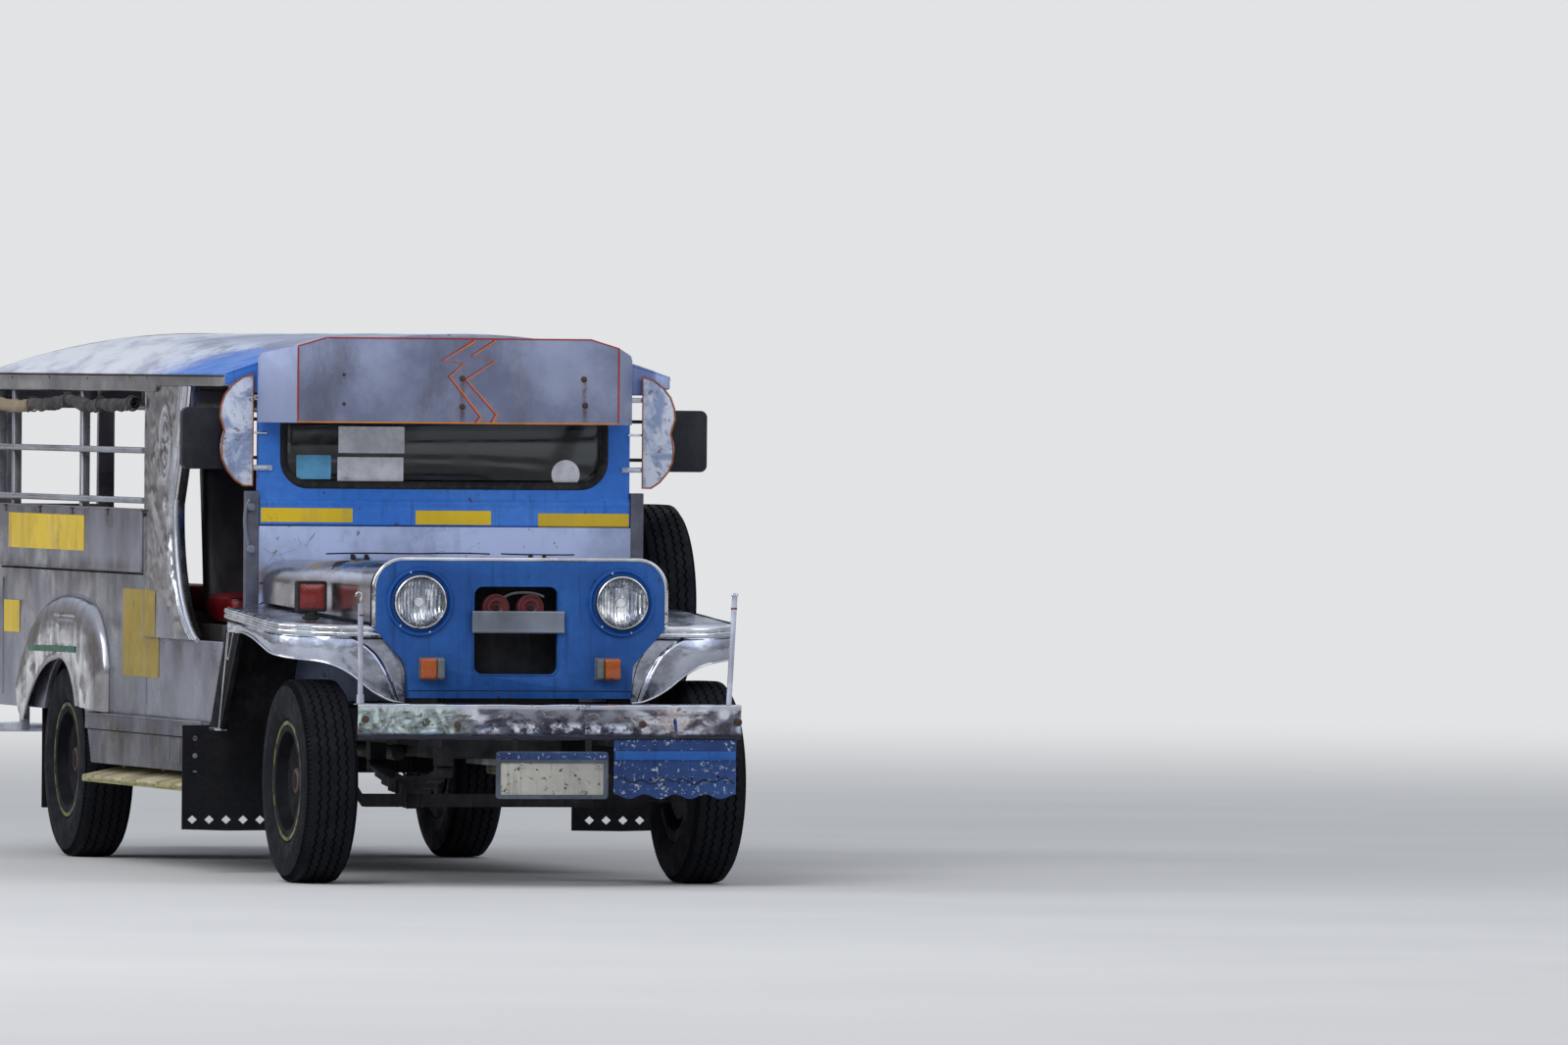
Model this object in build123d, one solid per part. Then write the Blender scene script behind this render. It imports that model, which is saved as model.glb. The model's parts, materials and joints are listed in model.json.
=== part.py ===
from build123d import *
import math
import os

# Jeepney, millimetres, +Z up. The front faces -Y, the vehicle's left is +X.
# Y is counted from the front axle while the pieces are made; export moves the middle of the length to Y = 0.

# Overall sizes
WHEELBASE = 3315.0
LENGTH_FRONT_Y = -630.0
LENGTH_REAR_Y = WHEELBASE + 1443
ORIGIN_Y = (LENGTH_FRONT_Y + LENGTH_REAR_Y) / 2
WHEEL_X = 677.0
GAP = 0.3
RUNNING_CLEARANCE = 0.05
MOVING_GAP = 5.0

# Wheels
TYRE_R = 345.0
TYRE_HALF_W = 95.0
BEAD_R = 180.0
BEAD_HALF_W = 71.0
RIM_FLANGE_R = 205.0
RIM_FLANGE_T = 8.0
HUB_R = 52.0
HUB_IN = 45.0
HUB_OUT = 48.0
SPINDLE_R = 25.0
SPINDLE_OUT = 36.0
DRUM_R = 130.0
PLATE_X = 616.0
KINGPIN_X = 560.0
KINGPIN_R = 12.0
KINGPIN_BOSS_R = 28.0
EYE_Z0, EYE_Z1 = 305.0, 385.0
TYRE_FACETS = 56
VENT_HOLES, VENT_RING_R, VENT_R = 6, 152.0, 13.0

# Chassis
RAIL_X0, RAIL_X1 = 300.0, 360.0
RAIL_Z0, RAIL_Z1 = 470.0, 580.0
RAIL_Y0, RAIL_Y1 = -560.0, WHEELBASE + 1245
CROSS_Z0, CROSS_Z1 = 500.0, 560.0
AXLE_Z = TYRE_R

# Body
FLOOR_Z = 600.0
WALL_X0, WALL_X1 = 745.0, 770.0
UPPER_X1 = 790.0
PILLAR_X1 = 782.0
BODY_Y0, BODY_Y1 = 850.0, WHEELBASE + 1115
REAR_WALL_Y0 = BODY_Y1 - 30
ROOF_Y0, ROOF_Y1 = 612.0, BODY_Y1 + 20
DOOR_Y1 = 2040.0
SILL_Z = 800.0
PANEL_Z0 = 520.0
SEAM_Z = 1030.0
WINDOW_Z0 = 1245.0
EAVE_Z0 = 1657.0
EAVE_Z1 = EAVE_Z0 + 65
EAVE_STEP_Y, EAVE_STEP = 1850.0, 22.0
ROOF_RISE = 143.0
ROOF_T = 18.0
SHELL_Y0, SHELL_Y1 = -210.0, -180.0
COWL_Y0 = 810.0
FRAME_X0, FRAME_X1 = -666.0, 650.0
FRAME_Y0, FRAME_Y1 = COWL_Y0 + 15, BODY_Y0 + 15


def block(x0, x1, y0, y1, z0, z1):
    """Box between two corners."""
    return Pos((x0 + x1) / 2, (y0 + y1) / 2, (z0 + z1) / 2) * Box(abs(x1 - x0), abs(y1 - y0), abs(z1 - z0))


def rod(start, end, radius, bore=0.0):
    """Round bar or tube between two points."""
    a, b = Vector(*start), Vector(*end)
    plane = Plane(origin=(a + b) * 0.5, z_dir=(b - a))
    bar = plane * Cylinder(radius, (b - a).length)
    return bar - plane * Cylinder(bore, (b - a).length + 2) if bore else bar


def side_plate(points, x0, x1):
    """Plate drawn in side view as (y, z) points, from x0 to x1."""
    face = Plane.YZ * make_face(Polyline(*points, close=True))
    return Pos(min(x0, x1), 0, 0) * extrude(face, abs(x1 - x0), dir=(1, 0, 0))


def front_plate(points, y0, y1):
    """Plate drawn in front view as (x, z) points, from y0 to y1."""
    face = Plane.XZ * make_face(Polyline(*points, close=True))
    return Pos(0, min(y0, y1), 0) * extrude(face, abs(y1 - y0), dir=(0, 1, 0))


def plan_plate(points, z0, z1):
    """Plate drawn in plan as (x, y) points, from z0 to z1."""
    face = make_face(Polyline(*points, close=True))
    return Pos(0, 0, min(z0, z1)) * extrude(face, abs(z1 - z0), dir=(0, 0, 1))


def tube_run(points, radius):
    """Round bar through several points with ball-shaped corners."""
    run = [rod(a, b, radius) for a, b in zip(points, points[1:])]
    run += [Pos(*p) * Sphere(radius) for p in points[1:-1]]
    return Part() + run


def both_sides(shape):
    """The shape and its mirror image across the middle of the vehicle."""
    return shape + mirror(shape, about=Plane.YZ)


def spun(points, x, y, z, side):
    """Profile of (outward, radius) points spun about a cross axle at x, y, z."""
    face = make_face(Polyline(*[(side * u, r) for u, r in points], close=True))
    return Pos(x, y, z) * revolve(face, Axis.X, 360)


def tyre(x, y, z):
    """Tyre ring with rounded shoulders, in flat facets that lie just outside the round tyre."""
    w = TYRE_HALF_W
    half = [(BEAD_HALF_W, BEAD_R + GAP), (BEAD_HALF_W, RIM_FLANGE_R + 1), (w, 256), (w - 3, 305), (w - 24, TYRE_R)]
    ring = half + [(-u, r) for u, r in reversed(half)]
    turn = 2 * math.pi / TYRE_FACETS
    grow = 1 / math.cos(turn / 2)

    def corner(step, point):
        angle = turn * (step + 0.5)
        u, r = point
        return (x + u, y + grow * r * math.sin(angle), z - grow * r * math.cos(angle))

    facets = []
    for k in range(TYRE_FACETS):
        for p, q in zip(ring, ring[1:] + ring[:1]):
            loop = [corner(k, p), corner(k, q), corner(k + 1, q), corner(k + 1, p)]
            facets.append(Face(Wire.make_polygon(loop, close=True)))
    return Solid(Shell(facets))


def rim(x, y, z, side):
    """Steel rim with its dished disc, hub and brake drum."""
    f = BEAD_HALF_W
    barrel = [(-f - RIM_FLANGE_T, 168), (-f - RIM_FLANGE_T, RIM_FLANGE_R), (-f, RIM_FLANGE_R), (-f, BEAD_R),
              (f, BEAD_R), (f, RIM_FLANGE_R), (f + RIM_FLANGE_T, RIM_FLANGE_R), (f + RIM_FLANGE_T, 168)]
    disc = [(8, 40), (8, 90), (34, 135), (20, 172), (30, 172), (44, 135), (18, 90), (18, 40)]
    hub = [(-HUB_IN, 0), (-HUB_IN, HUB_R), (18, HUB_R), (22, 44), (HUB_OUT, 40), (HUB_OUT + 6, 30), (HUB_OUT + 6, 0)]
    drum = [(-HUB_IN, DRUM_R - 12), (-HUB_IN, DRUM_R), (12, DRUM_R), (30, 120), (18, 100), (8, 100), (8, 118)]
    body = spun(barrel, x, y, z, side) + spun(disc, x, y, z, side) + spun(hub, x, y, z, side)
    body += spun(drum, x, y, z, side)
    bore_r = SPINDLE_R + RUNNING_CLEARANCE
    inner, outer = -HUB_IN - 1, SPINDLE_OUT + 2
    body -= spun([(inner, 0), (inner, bore_r), (outer, bore_r), (outer, 0)], x, y, z, side)
    for k in range(VENT_HOLES):
        a = 2 * math.pi * k / VENT_HOLES
        dy, dz = VENT_RING_R * math.cos(a), VENT_RING_R * math.sin(a)
        body -= rod((x + side * 2, y + dy, z + dz), (x + side * 80, y + dy, z + dz), VENT_R)
    return body


def leaf_pack(x, y, top_z, half_length, rise, leaves, width, clamp_z):
    """Curved leaf spring with round end eyes and its axle clamp."""
    t = 12.0
    radius = (half_length ** 2 + rise ** 2) / (2 * rise)
    centre_z = top_z + radius
    pack = None
    for k in range(leaves):
        r0, r1 = radius + k * t, radius + (k + 1) * t
        reach = half_length - k * 0.8 * half_length / leaves
        s0, s1 = reach, reach
        p = [(-s0, centre_z - math.sqrt(r0 ** 2 - s0 ** 2)), (0, centre_z - r0), (s0, centre_z - math.sqrt(r0 ** 2 - s0 ** 2))]
        q = [(s1, centre_z - math.sqrt(r1 ** 2 - s1 ** 2)), (0, centre_z - r1), (-s1, centre_z - math.sqrt(r1 ** 2 - s1 ** 2))]
        outline = ThreePointArc(*p) + Line(p[2], q[0]) + ThreePointArc(*q) + Line(q[2], p[0])
        leaf = Pos(x - width / 2, y, 0) * extrude(Plane.YZ * make_face(outline), width, dir=(1, 0, 0))
        pack = leaf if pack is None else pack + leaf
    eye_z = top_z + rise - 8
    for side in (-1, 1):
        pack += rod((x - width / 2, y + side * half_length, eye_z), (x + width / 2, y + side * half_length, eye_z), 20)
    pack += block(x - width / 2 - 8, x + width / 2 + 8, y - 62, y + 62, top_z - 2, top_z + 12)
    for dx in (-1, 1):
        for dy in (-1, 1):
            px, py = x + dx * (width / 2 + 1), y + dy * 54
            pack += rod((px, py, clamp_z), (px, py, top_z + 22), 6)
    return pack


# Chassis frame, with spring hangers and outriggers for the body
FRONT_SPRING = dict(x=330.0, y=0.0, top_z=350.0, half_length=470.0, rise=45.0, leaves=4, width=58.0, clamp_z=256.0)
REAR_SPRING = dict(x=460.0, y=WHEELBASE, top_z=450.0, half_length=500.0, rise=50.0, leaves=5, width=58.0, clamp_z=296.0)
CROSS_Y = [-500.0, -80.0, 1400.0, 2300.0, WHEELBASE - 415, WHEELBASE + 635, RAIL_Y1 - 60]
OUTRIGGER_Y = [1005.0, 2000.0, WHEELBASE - 595, WHEELBASE + 885]
JACK_Y, JACK_PAD, JACK_T = 2600.0, 60.0, 10.0


def spring_eye_top(s):
    """Height of the top of a spring's end eye."""
    return s["top_z"] + s["rise"] + 12


rail_side = block(RAIL_X0, RAIL_X1, RAIL_Y0, RAIL_Y1, RAIL_Z0, RAIL_Z1)
rail_side += block(RAIL_X0, RAIL_X1, -622, RAIL_Y0 + 20, 504, 580)
for spring, x0, x1 in ((FRONT_SPRING, 302.0, 358.0), (REAR_SPRING, RAIL_X1 - 2, 488.0)):
    for end in (-1, 1):
        y_eye = spring["y"] + end * spring["half_length"]
        rail_side += block(x0, x1, y_eye - 28, y_eye + 28, spring_eye_top(spring), RAIL_Z0 + 90)
for y in OUTRIGGER_Y:
    rail_side += block(RAIL_X1 - 1, WALL_X0, y - 25, y + 25, PANEL_Z0, RAIL_Z1)
rail_side += block(RAIL_X0, RAIL_X1, JACK_Y - JACK_PAD / 2, JACK_Y + JACK_PAD / 2, RAIL_Z0 - JACK_T, RAIL_Z0 + 1)
chassis_frame = both_sides(rail_side)
for y in CROSS_Y:
    chassis_frame += block(-RAIL_X0 - 1, RAIL_X0 + 1, y - 30, y + 30, CROSS_Z0, CROSS_Z1)
TOW_Y, TOW_R, TOW_T = RAIL_Y1 + 40, 13.0, 16.0
chassis_frame += block(-45, 45, CROSS_Y[-1], TOW_Y + 45, CROSS_Z0, CROSS_Z0 + TOW_T)
chassis_frame -= rod((0, TOW_Y, CROSS_Z0 - 5), (0, TOW_Y, CROSS_Z0 + TOW_T + 5), TOW_R)

# Leaf springs
leaf_springs = both_sides(leaf_pack(**FRONT_SPRING) + leaf_pack(**REAR_SPRING))

# Front axle beam with its kingpin eyes
BEAM_TOP = FRONT_SPRING["top_z"] - FRONT_SPRING["leaves"] * 12
beam = front_plate([(-500, BEAM_TOP), (500, BEAM_TOP), (548, EYE_Z1 - 8), (560, EYE_Z1 - 8), (560, EYE_Z0 + 4),
                    (528, EYE_Z0 + 4), (490, 258), (-490, 258), (-528, EYE_Z0 + 4), (-560, EYE_Z0 + 4),
                    (-560, EYE_Z1 - 8), (-548, EYE_Z1 - 8)], -26, 26)
beam_ends = rod((KINGPIN_X, 0, EYE_Z0), (KINGPIN_X, 0, EYE_Z1), KINGPIN_BOSS_R)
pin_bore = rod((KINGPIN_X, 0, EYE_Z0 - 60), (KINGPIN_X, 0, EYE_Z1 + 60), KINGPIN_R + RUNNING_CLEARANCE)
front_axle = beam + both_sides(beam_ends) - both_sides(pin_bore)

# Rear axle with differential and propeller shaft
REAR_TUBE_R = 45.0
rear_axle = rod((-602, WHEELBASE, AXLE_Z), (602, WHEELBASE, AXLE_Z), REAR_TUBE_R)
rear_axle += Pos(0, WHEELBASE, AXLE_Z) * Sphere(140)
rear_axle += rod((0, 1162, 462), (0, WHEELBASE - 100, 372), 32)
hub_end = rod((WHEEL_X - 100, WHEELBASE, AXLE_Z), (WHEEL_X + SPINDLE_OUT, WHEELBASE, AXLE_Z), SPINDLE_R)
hub_end += rod((PLATE_X - 16, WHEELBASE, AXLE_Z), (PLATE_X - 10, WHEELBASE, AXLE_Z), DRUM_R)
rear_axle += both_sides(hub_end)

# Steering knuckles
def knuckle(side):
    """Kingpin fork, back plate, steering arm and spindle of one front wheel."""
    web_x = KINGPIN_X + KINGPIN_BOSS_R + MOVING_GAP
    body = rod((KINGPIN_X, 0, EYE_Z0 - 30), (KINGPIN_X, 0, EYE_Z1 + 30), KINGPIN_R)
    for z0, z1 in ((EYE_Z0 - 30, EYE_Z0 - MOVING_GAP), (EYE_Z1 + MOVING_GAP, EYE_Z1 + 30)):
        body += rod((KINGPIN_X, 0, z0), (KINGPIN_X, 0, z1), KINGPIN_BOSS_R)
        body += block(KINGPIN_X, PLATE_X, -24, 24, z0, z1)
    body += block(web_x, PLATE_X, -24, 24, EYE_Z0 - 30, EYE_Z1 + 30)
    body += rod((PLATE_X - 1, 0, AXLE_Z), (PLATE_X + 6, 0, AXLE_Z), DRUM_R - 4)
    body += rod((PLATE_X, 0, AXLE_Z), (WHEEL_X + SPINDLE_OUT, 0, AXLE_Z), SPINDLE_R)
    body += plan_plate([(KINGPIN_X - 14, 0), (KINGPIN_X + 16, 0), (KINGPIN_X - 8, 140), (KINGPIN_X - 34, 140)],
                       EYE_Z0 - 30, EYE_Z0 - 12)
    return body if side > 0 else mirror(body, about=Plane.YZ)


# Engine and gearbox as one plain block, radiator, exhaust
engine_block = block(-220, 220, 60, 700, 420, 950) + block(-120, 120, 699, 1158, 420, 560)
engine_block += both_sides(block(219, RAIL_X0, 330, 400, 520, 560))
radiator = block(-235, 235, -105, -45, CROSS_Z1, 1020) + block(-110, 110, -100, -50, 1015, 1050)
EXHAUST_X, EXHAUST_Z = -245.0, 430.0
exhaust_pipe = rod((EXHAUST_X, 500, EXHAUST_Z), (EXHAUST_X, RAIL_Y1 - 160, EXHAUST_Z), 24.5)
exhaust_pipe += rod((EXHAUST_X, 1600, EXHAUST_Z), (EXHAUST_X, 2150, EXHAUST_Z), 50)
for y in (CROSS_Y[2], CROSS_Y[3], CROSS_Y[5]):
    exhaust_pipe += block(EXHAUST_X - 10, EXHAUST_X + 10, y - 6, y + 6, EXHAUST_Z, CROSS_Z0)

# Front bumper channel with its two poles
BUMPER_X, BUMPER_Y0, BUMPER_Y1, BUMPER_Z0, BUMPER_Z1 = 667.0, -630.0, -560.0, 496.0, 620.0
front_bumper = block(-BUMPER_X, BUMPER_X, BUMPER_Y0, BUMPER_Y1, BUMPER_Z0, BUMPER_Z1)
front_bumper -= block(-BUMPER_X - 5, BUMPER_X + 5, BUMPER_Y0 + 8, BUMPER_Y1 + 5, BUMPER_Z0 + 8, BUMPER_Z1 - 8)
POLE_R = 9.0
front_bumper += rod((-652, -600, BUMPER_Z1 - 8), (-652, -600, 975), POLE_R)
front_bumper += Pos(-652, -600, 985) * (Rot(0, 90, 0) * Torus(18, 6))
front_bumper += rod((628, -600, BUMPER_Z1 - 8), (646, -600, 990), POLE_R)
front_bumper += Pos(646, -600, 990) * Sphere(13)

# Blank number plate and the flap under the bumper
number_plate = block(-190, 205, BUMPER_Y0 + 6, BUMPER_Y0 + 12, 300, 460)
for x in (-120.0, 135.0):
    number_plate += block(x - 12, x + 12, BUMPER_Y0 + 6, BUMPER_Y0 + 10, 455, BUMPER_Z0)
flap_wave = [(225, BUMPER_Z0), (225, 318), (262, 300), (300, 316), (345, 300), (388, 316), (432, 300), (476, 316),
             (520, 300), (565, 316), (608, 300), (650, 318), (650, BUMPER_Z0)]
bumper_flap = front_plate(flap_wave, BUMPER_Y0 + 10, BUMPER_Y0 + 16)

# Hood sizes, front and rear section, and its hinge at the cowl
HINGE_Y, HINGE_Z, HINGE_R, HINGE_PIN_R = 796.0, 1096.0, 9.0, 4.0
HOOD_Y0, HOOD_Y1, HOOD_T = -151.0, 802.0, 10.0
HOOD_FRONT = dict(half=508.0, top=1094.0, bottom=884.0, corner=95.0)
HOOD_REAR = dict(half=655.0, top=1082.0, bottom=938.0, corner=70.0)

# Grille shell with the lamp holes, the central opening and the flange under the hood's front edge
HEADLAMP_X, HEADLAMP_Z, HEADLAMP_R, BEZEL_R = 352.0, 955.0, 92.0, 115.0
SHELL_HALF, SHELL_TOP, SHELL_CORNER = 510.0, 1100.0, 100.0
edge = SHELL_HALF - SHELL_CORNER
shoulder = SHELL_TOP - SHELL_CORNER
d45 = SHELL_CORNER * (1 - math.sqrt(0.5))
outline = Polyline((-SHELL_HALF, shoulder), (-SHELL_HALF, 869), (-396, 742), (-390, 630), (390, 630), (396, 742),
                   (SHELL_HALF, 869), (SHELL_HALF, shoulder))
outline += ThreePointArc((SHELL_HALF, shoulder), (SHELL_HALF - d45, SHELL_TOP - d45), (edge, SHELL_TOP))
outline += Line((edge, SHELL_TOP), (-edge, SHELL_TOP))
outline += ThreePointArc((-edge, SHELL_TOP), (-SHELL_HALF + d45, SHELL_TOP - d45), (-SHELL_HALF, shoulder))
grille_shell = Pos(0, SHELL_Y0, 0) * extrude(Plane.XZ * make_face(outline), SHELL_Y1 - SHELL_Y0, dir=(0, 1, 0))
OPENING_X, OPENING_W, OPENING_Z, OPENING_H = -15.5, 295.0, 860.0, 300.0
opening = Plane.XZ * (Pos(OPENING_X, OPENING_Z) * RectangleRounded(OPENING_W, OPENING_H, 30))
grille_shell -= Pos(0, SHELL_Y0 - 5, 0) * extrude(opening, 60, dir=(0, 1, 0))
for side in (-1, 1):
    grille_shell -= rod((side * HEADLAMP_X, SHELL_Y0 - 5, HEADLAMP_Z), (side * HEADLAMP_X, SHELL_Y1 + 5, HEADLAMP_Z),
                        HEADLAMP_R)


def arch_face(y, half, top, bottom, corner):
    """Upright section with rounded upper corners, at one place along the hood."""
    c = corner * (1 - math.sqrt(0.5))
    wire = Polyline((-half, top - corner), (-half, bottom), (half, bottom), (half, top - corner))
    wire += ThreePointArc((half, top - corner), (half - c, top - c), (half - corner, top))
    wire += Line((half - corner, top), (corner - half, top))
    wire += ThreePointArc((corner - half, top), (c - half, top - c), (-half, top - corner))
    return Pos(0, y, 0) * (Plane.XZ * make_face(wire))


def inset_arch(y, section, inset, bottom):
    """The same section made smaller all round, open at the bottom line given."""
    return arch_face(y, section["half"] - inset, section["top"] - inset, bottom, section["corner"] - inset)


FLANGE_INSET = HOOD_T + MOVING_GAP + 2
flange = extrude(inset_arch(SHELL_Y1 - 1, HOOD_FRONT, FLANGE_INSET, 884), 61, dir=(0, 1, 0))
flange -= extrude(inset_arch(SHELL_Y1 - 2, HOOD_FRONT, FLANGE_INSET + 6, 800), 80, dir=(0, 1, 0))
grille_shell += flange


# Headlamps
def headlamp(x):
    """Round lamp with bezel, seated in the grille shell."""
    lamp = rod((x, SHELL_Y0 - 12, HEADLAMP_Z), (x, SHELL_Y0, HEADLAMP_Z), BEZEL_R)
    lamp += rod((x, SHELL_Y0 - 26, HEADLAMP_Z), (x, SHELL_Y1, HEADLAMP_Z), HEADLAMP_R)
    lamp += rod((x, SHELL_Y1 - 1, HEADLAMP_Z), (x, SHELL_Y1 + 50, HEADLAMP_Z), HEADLAMP_R - 10)
    return lamp


headlamps = headlamp(-HEADLAMP_X) + headlamp(HEADLAMP_X)

# Horns and the bar that carries them
horn_bar = block(-172, 150, SHELL_Y0 - 16, SHELL_Y0, 850, 927)
for x in (-83.0, 37.0):
    horn_bar += rod((x, SHELL_Y0 + 6, 937), (x, SHELL_Y0 + 46, 937), 47)
    horn_bar += rod((x, SHELL_Y0 - 1, 915), (x, SHELL_Y0 + 10, 915), 9)

# Front fenders
FENDER_Z0, FENDER_SLOPE, FENDER_T = 870.0, 0.0545, 12.0
FENDER_X1, FENDER_CORNER_R = 800.0, 240.0
FENDER_REAR_X, FENDER_REAR_Y = 705.0, 690.0


def fender_top(y):
    """Height of the fender's flat top."""
    return FENDER_Z0 + FENDER_SLOPE * (y - SHELL_Y0)


def fender_plan(inset):
    """Plan of one fender as drawn from its outer skin, made smaller by the inset."""
    r = FENDER_CORNER_R - inset
    mid = r * math.sqrt(0.5)
    x, y = FENDER_X1 - FENDER_CORNER_R, SHELL_Y1 + FENDER_CORNER_R
    inner_x, rear_y = 395 + inset, COWL_Y0 + inset
    wire = Line((inner_x, y - r), (x, y - r))
    wire += ThreePointArc((x, y - r), (x + mid, y - mid), (x + r, y))
    wire += Polyline((x + r, y), (x + r, FENDER_REAR_Y), (FENDER_REAR_X, rear_y), (632 + inset, rear_y),
                     (478 + inset, -120 + inset), (inner_x, -120 + inset), (inner_x, y - r))
    return make_face(wire)


def plan_slab(face, z0, z1):
    """Upright prism over a plan face."""
    return Pos(0, 0, z0) * extrude(face, z1 - z0, dir=(0, 0, 1))


top_slab = side_plate([(SHELL_Y1, fender_top(SHELL_Y1) - FENDER_T), (SHELL_Y1, fender_top(SHELL_Y1)),
                       (COWL_Y0, fender_top(COWL_Y0)), (COWL_Y0, fender_top(COWL_Y0) - FENDER_T)], 380, 820)
wall_slab = side_plate([(SHELL_Y1, 630), (SHELL_Y1, fender_top(SHELL_Y1)), (COWL_Y0, fender_top(COWL_Y0)),
                        (COWL_Y0, 630)], 380, 820)
fender = plan_slab(fender_plan(0), 600, 1000) & top_slab
fender += (plan_slab(fender_plan(0), 600, 1000) - plan_slab(fender_plan(FENDER_T), 590, 1010)) & wall_slab
SIDE_LIP = [(-130, 758), (0, 772), (110, 790), (290, 825), (470, 841)]
lip = ThreePointArc(*SIDE_LIP[0:3]) + ThreePointArc(*SIDE_LIP[2:5])
lip += Polyline(SIDE_LIP[4], (900, 838), (900, 560), (-130, 560), SIDE_LIP[0])
fender -= Pos(540, 0, 0) * extrude(Plane.YZ * make_face(lip), 360, dir=(1, 0, 0))
FRONT_LIP = [(440, 616), (495, 643), (530, 665), (570, 701), (600, 722), (635, 740), (676, 752), (720, 758)]
fender -= front_plate([(440, 560), *FRONT_LIP, (720, 560)], -400, -109)
fender -= block(380, 541, -110, 900, 560, 800)
fender -= block(380, 470, -140, 0, 840, 1000)
LEG_Z0, LEG_W = 505.0, 150.0
leg = side_plate([(540, 836), (540, fender_top(540) - 6), (FENDER_REAR_Y - 6, fender_top(FENDER_REAR_Y) - 6),
                  (954, LEG_Z0), (954 - LEG_W, LEG_Z0)], 780, FENDER_X1)
leg += side_plate([(620, 836), (620, fender_top(620) - 6), (632, fender_top(632) - 6), (822, LEG_Z0), (810, LEG_Z0)],
                  560, FENDER_X1)
fender += leg
front_fenders = both_sides(fender)

# Hood, hinged at the cowl
hood = loft([arch_face(HOOD_Y0, **HOOD_FRONT), arch_face(HOOD_Y1, **HOOD_REAR)])
hood -= loft([inset_arch(HOOD_Y0 - 1, HOOD_FRONT, HOOD_T, 820), inset_arch(HOOD_Y1 + 1, HOOD_REAR, HOOD_T, 820)])
for side in (-1, 1):
    for x in (290.0, 340.0):
        hood += rod((side * (x - 5), HINGE_Y, HINGE_Z), (side * (x + 5), HINGE_Y, HINGE_Z), HINGE_R)
        hood += block(side * (x - 5), side * (x + 5), HINGE_Y - 26, HINGE_Y, 1076, HINGE_Z)
    hood += rod((side * 285, HINGE_Y, HINGE_Z), (side * 345, HINGE_Y, HINGE_Z), HINGE_PIN_R)

# Cowl with firewall and dashboard
COWL_X, COWL_Z1, POST_W, POST_Z1 = 780.0, 1200.0, 46.0, 1320.0
cowl = block(-COWL_X, COWL_X, COWL_Y0, BODY_Y0, FLOOR_Z, SILL_Z)
cowl += block(FRAME_X0, FRAME_X1, COWL_Y0, BODY_Y0, SILL_Z - 1, COWL_Z1)
cowl += block(FRAME_X0 + 16, FRAME_X1, BODY_Y0 - 1, 960, 1060, COWL_Z1)
cowl += block(305, 355, BODY_Y0 - 1, 958, 960, 1061)
for side in (-1, 1):
    lug = block(side * 300, side * 330, HINGE_Y, COWL_Y0 + 1, HINGE_Z - 8, HINGE_Z + 8)
    lug += rod((side * 300, HINGE_Y, HINGE_Z), (side * 330, HINGE_Y, HINGE_Z), HINGE_R)
    cowl += lug - rod((side * 299, HINGE_Y, HINGE_Z), (side * 331, HINGE_Y, HINGE_Z), HINGE_PIN_R + RUNNING_CLEARANCE)

# Steering column and wheel
COLUMN_TILT = math.radians(40)
COLUMN_X, WHEEL_Y, STEER_Z, STEER_R = 330.0, 1160.0, 1190.0, 190.0


def on_column(along):
    """Point on the steering column, counted back from the wheel's centre."""
    return (COLUMN_X, WHEEL_Y - along * math.cos(COLUMN_TILT), STEER_Z - along * math.sin(COLUMN_TILT))


cowl += rod(on_column(60), on_column(330), 22, 10 + RUNNING_CLEARANCE)
cowl -= rod(on_column(55), on_column(332), 10 + RUNNING_CLEARANCE)
rim_plane = Plane(origin=on_column(0), z_dir=(0, math.cos(COLUMN_TILT), math.sin(COLUMN_TILT)))
steering_wheel = rim_plane * Torus(STEER_R, 12)
steering_wheel += rod(on_column(-18), on_column(50), 30)
steering_wheel += rod(on_column(49), on_column(280), 10)
for a in (90, 210, 330):
    spoke = Rot(0, 0, a) * (Pos(STEER_R / 2 + 8, 0, 0) * Box(STEER_R - 20, 20, 8))
    steering_wheel += rim_plane * spoke

# Windshield frame and glass
GLASS_X0, GLASS_X1, GLASS_Z0, GLASS_Z1 = -580.0, 560.0, 1340.0, 1625.0


def glass_face(grow):
    """Windshield opening with rounded corners."""
    w, h = GLASS_X1 - GLASS_X0 + 2 * grow, GLASS_Z1 - GLASS_Z0 + 2 * grow
    return Plane.XZ * (Pos((GLASS_X0 + GLASS_X1) / 2, (GLASS_Z0 + GLASS_Z1) / 2) * RectangleRounded(w, h, 90 + grow))


windshield_frame = block(FRAME_X0, FRAME_X1, FRAME_Y0, FRAME_Y1, COWL_Z1, EAVE_Z0)
windshield_frame -= Pos(0, FRAME_Y0 - 25, 0) * extrude(glass_face(0), 100, dir=(0, 1, 0))
windshield_glass = Pos(0, FRAME_Y0 + 17, 0) * extrude(glass_face(0), 6, dir=(0, 1, 0))

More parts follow.
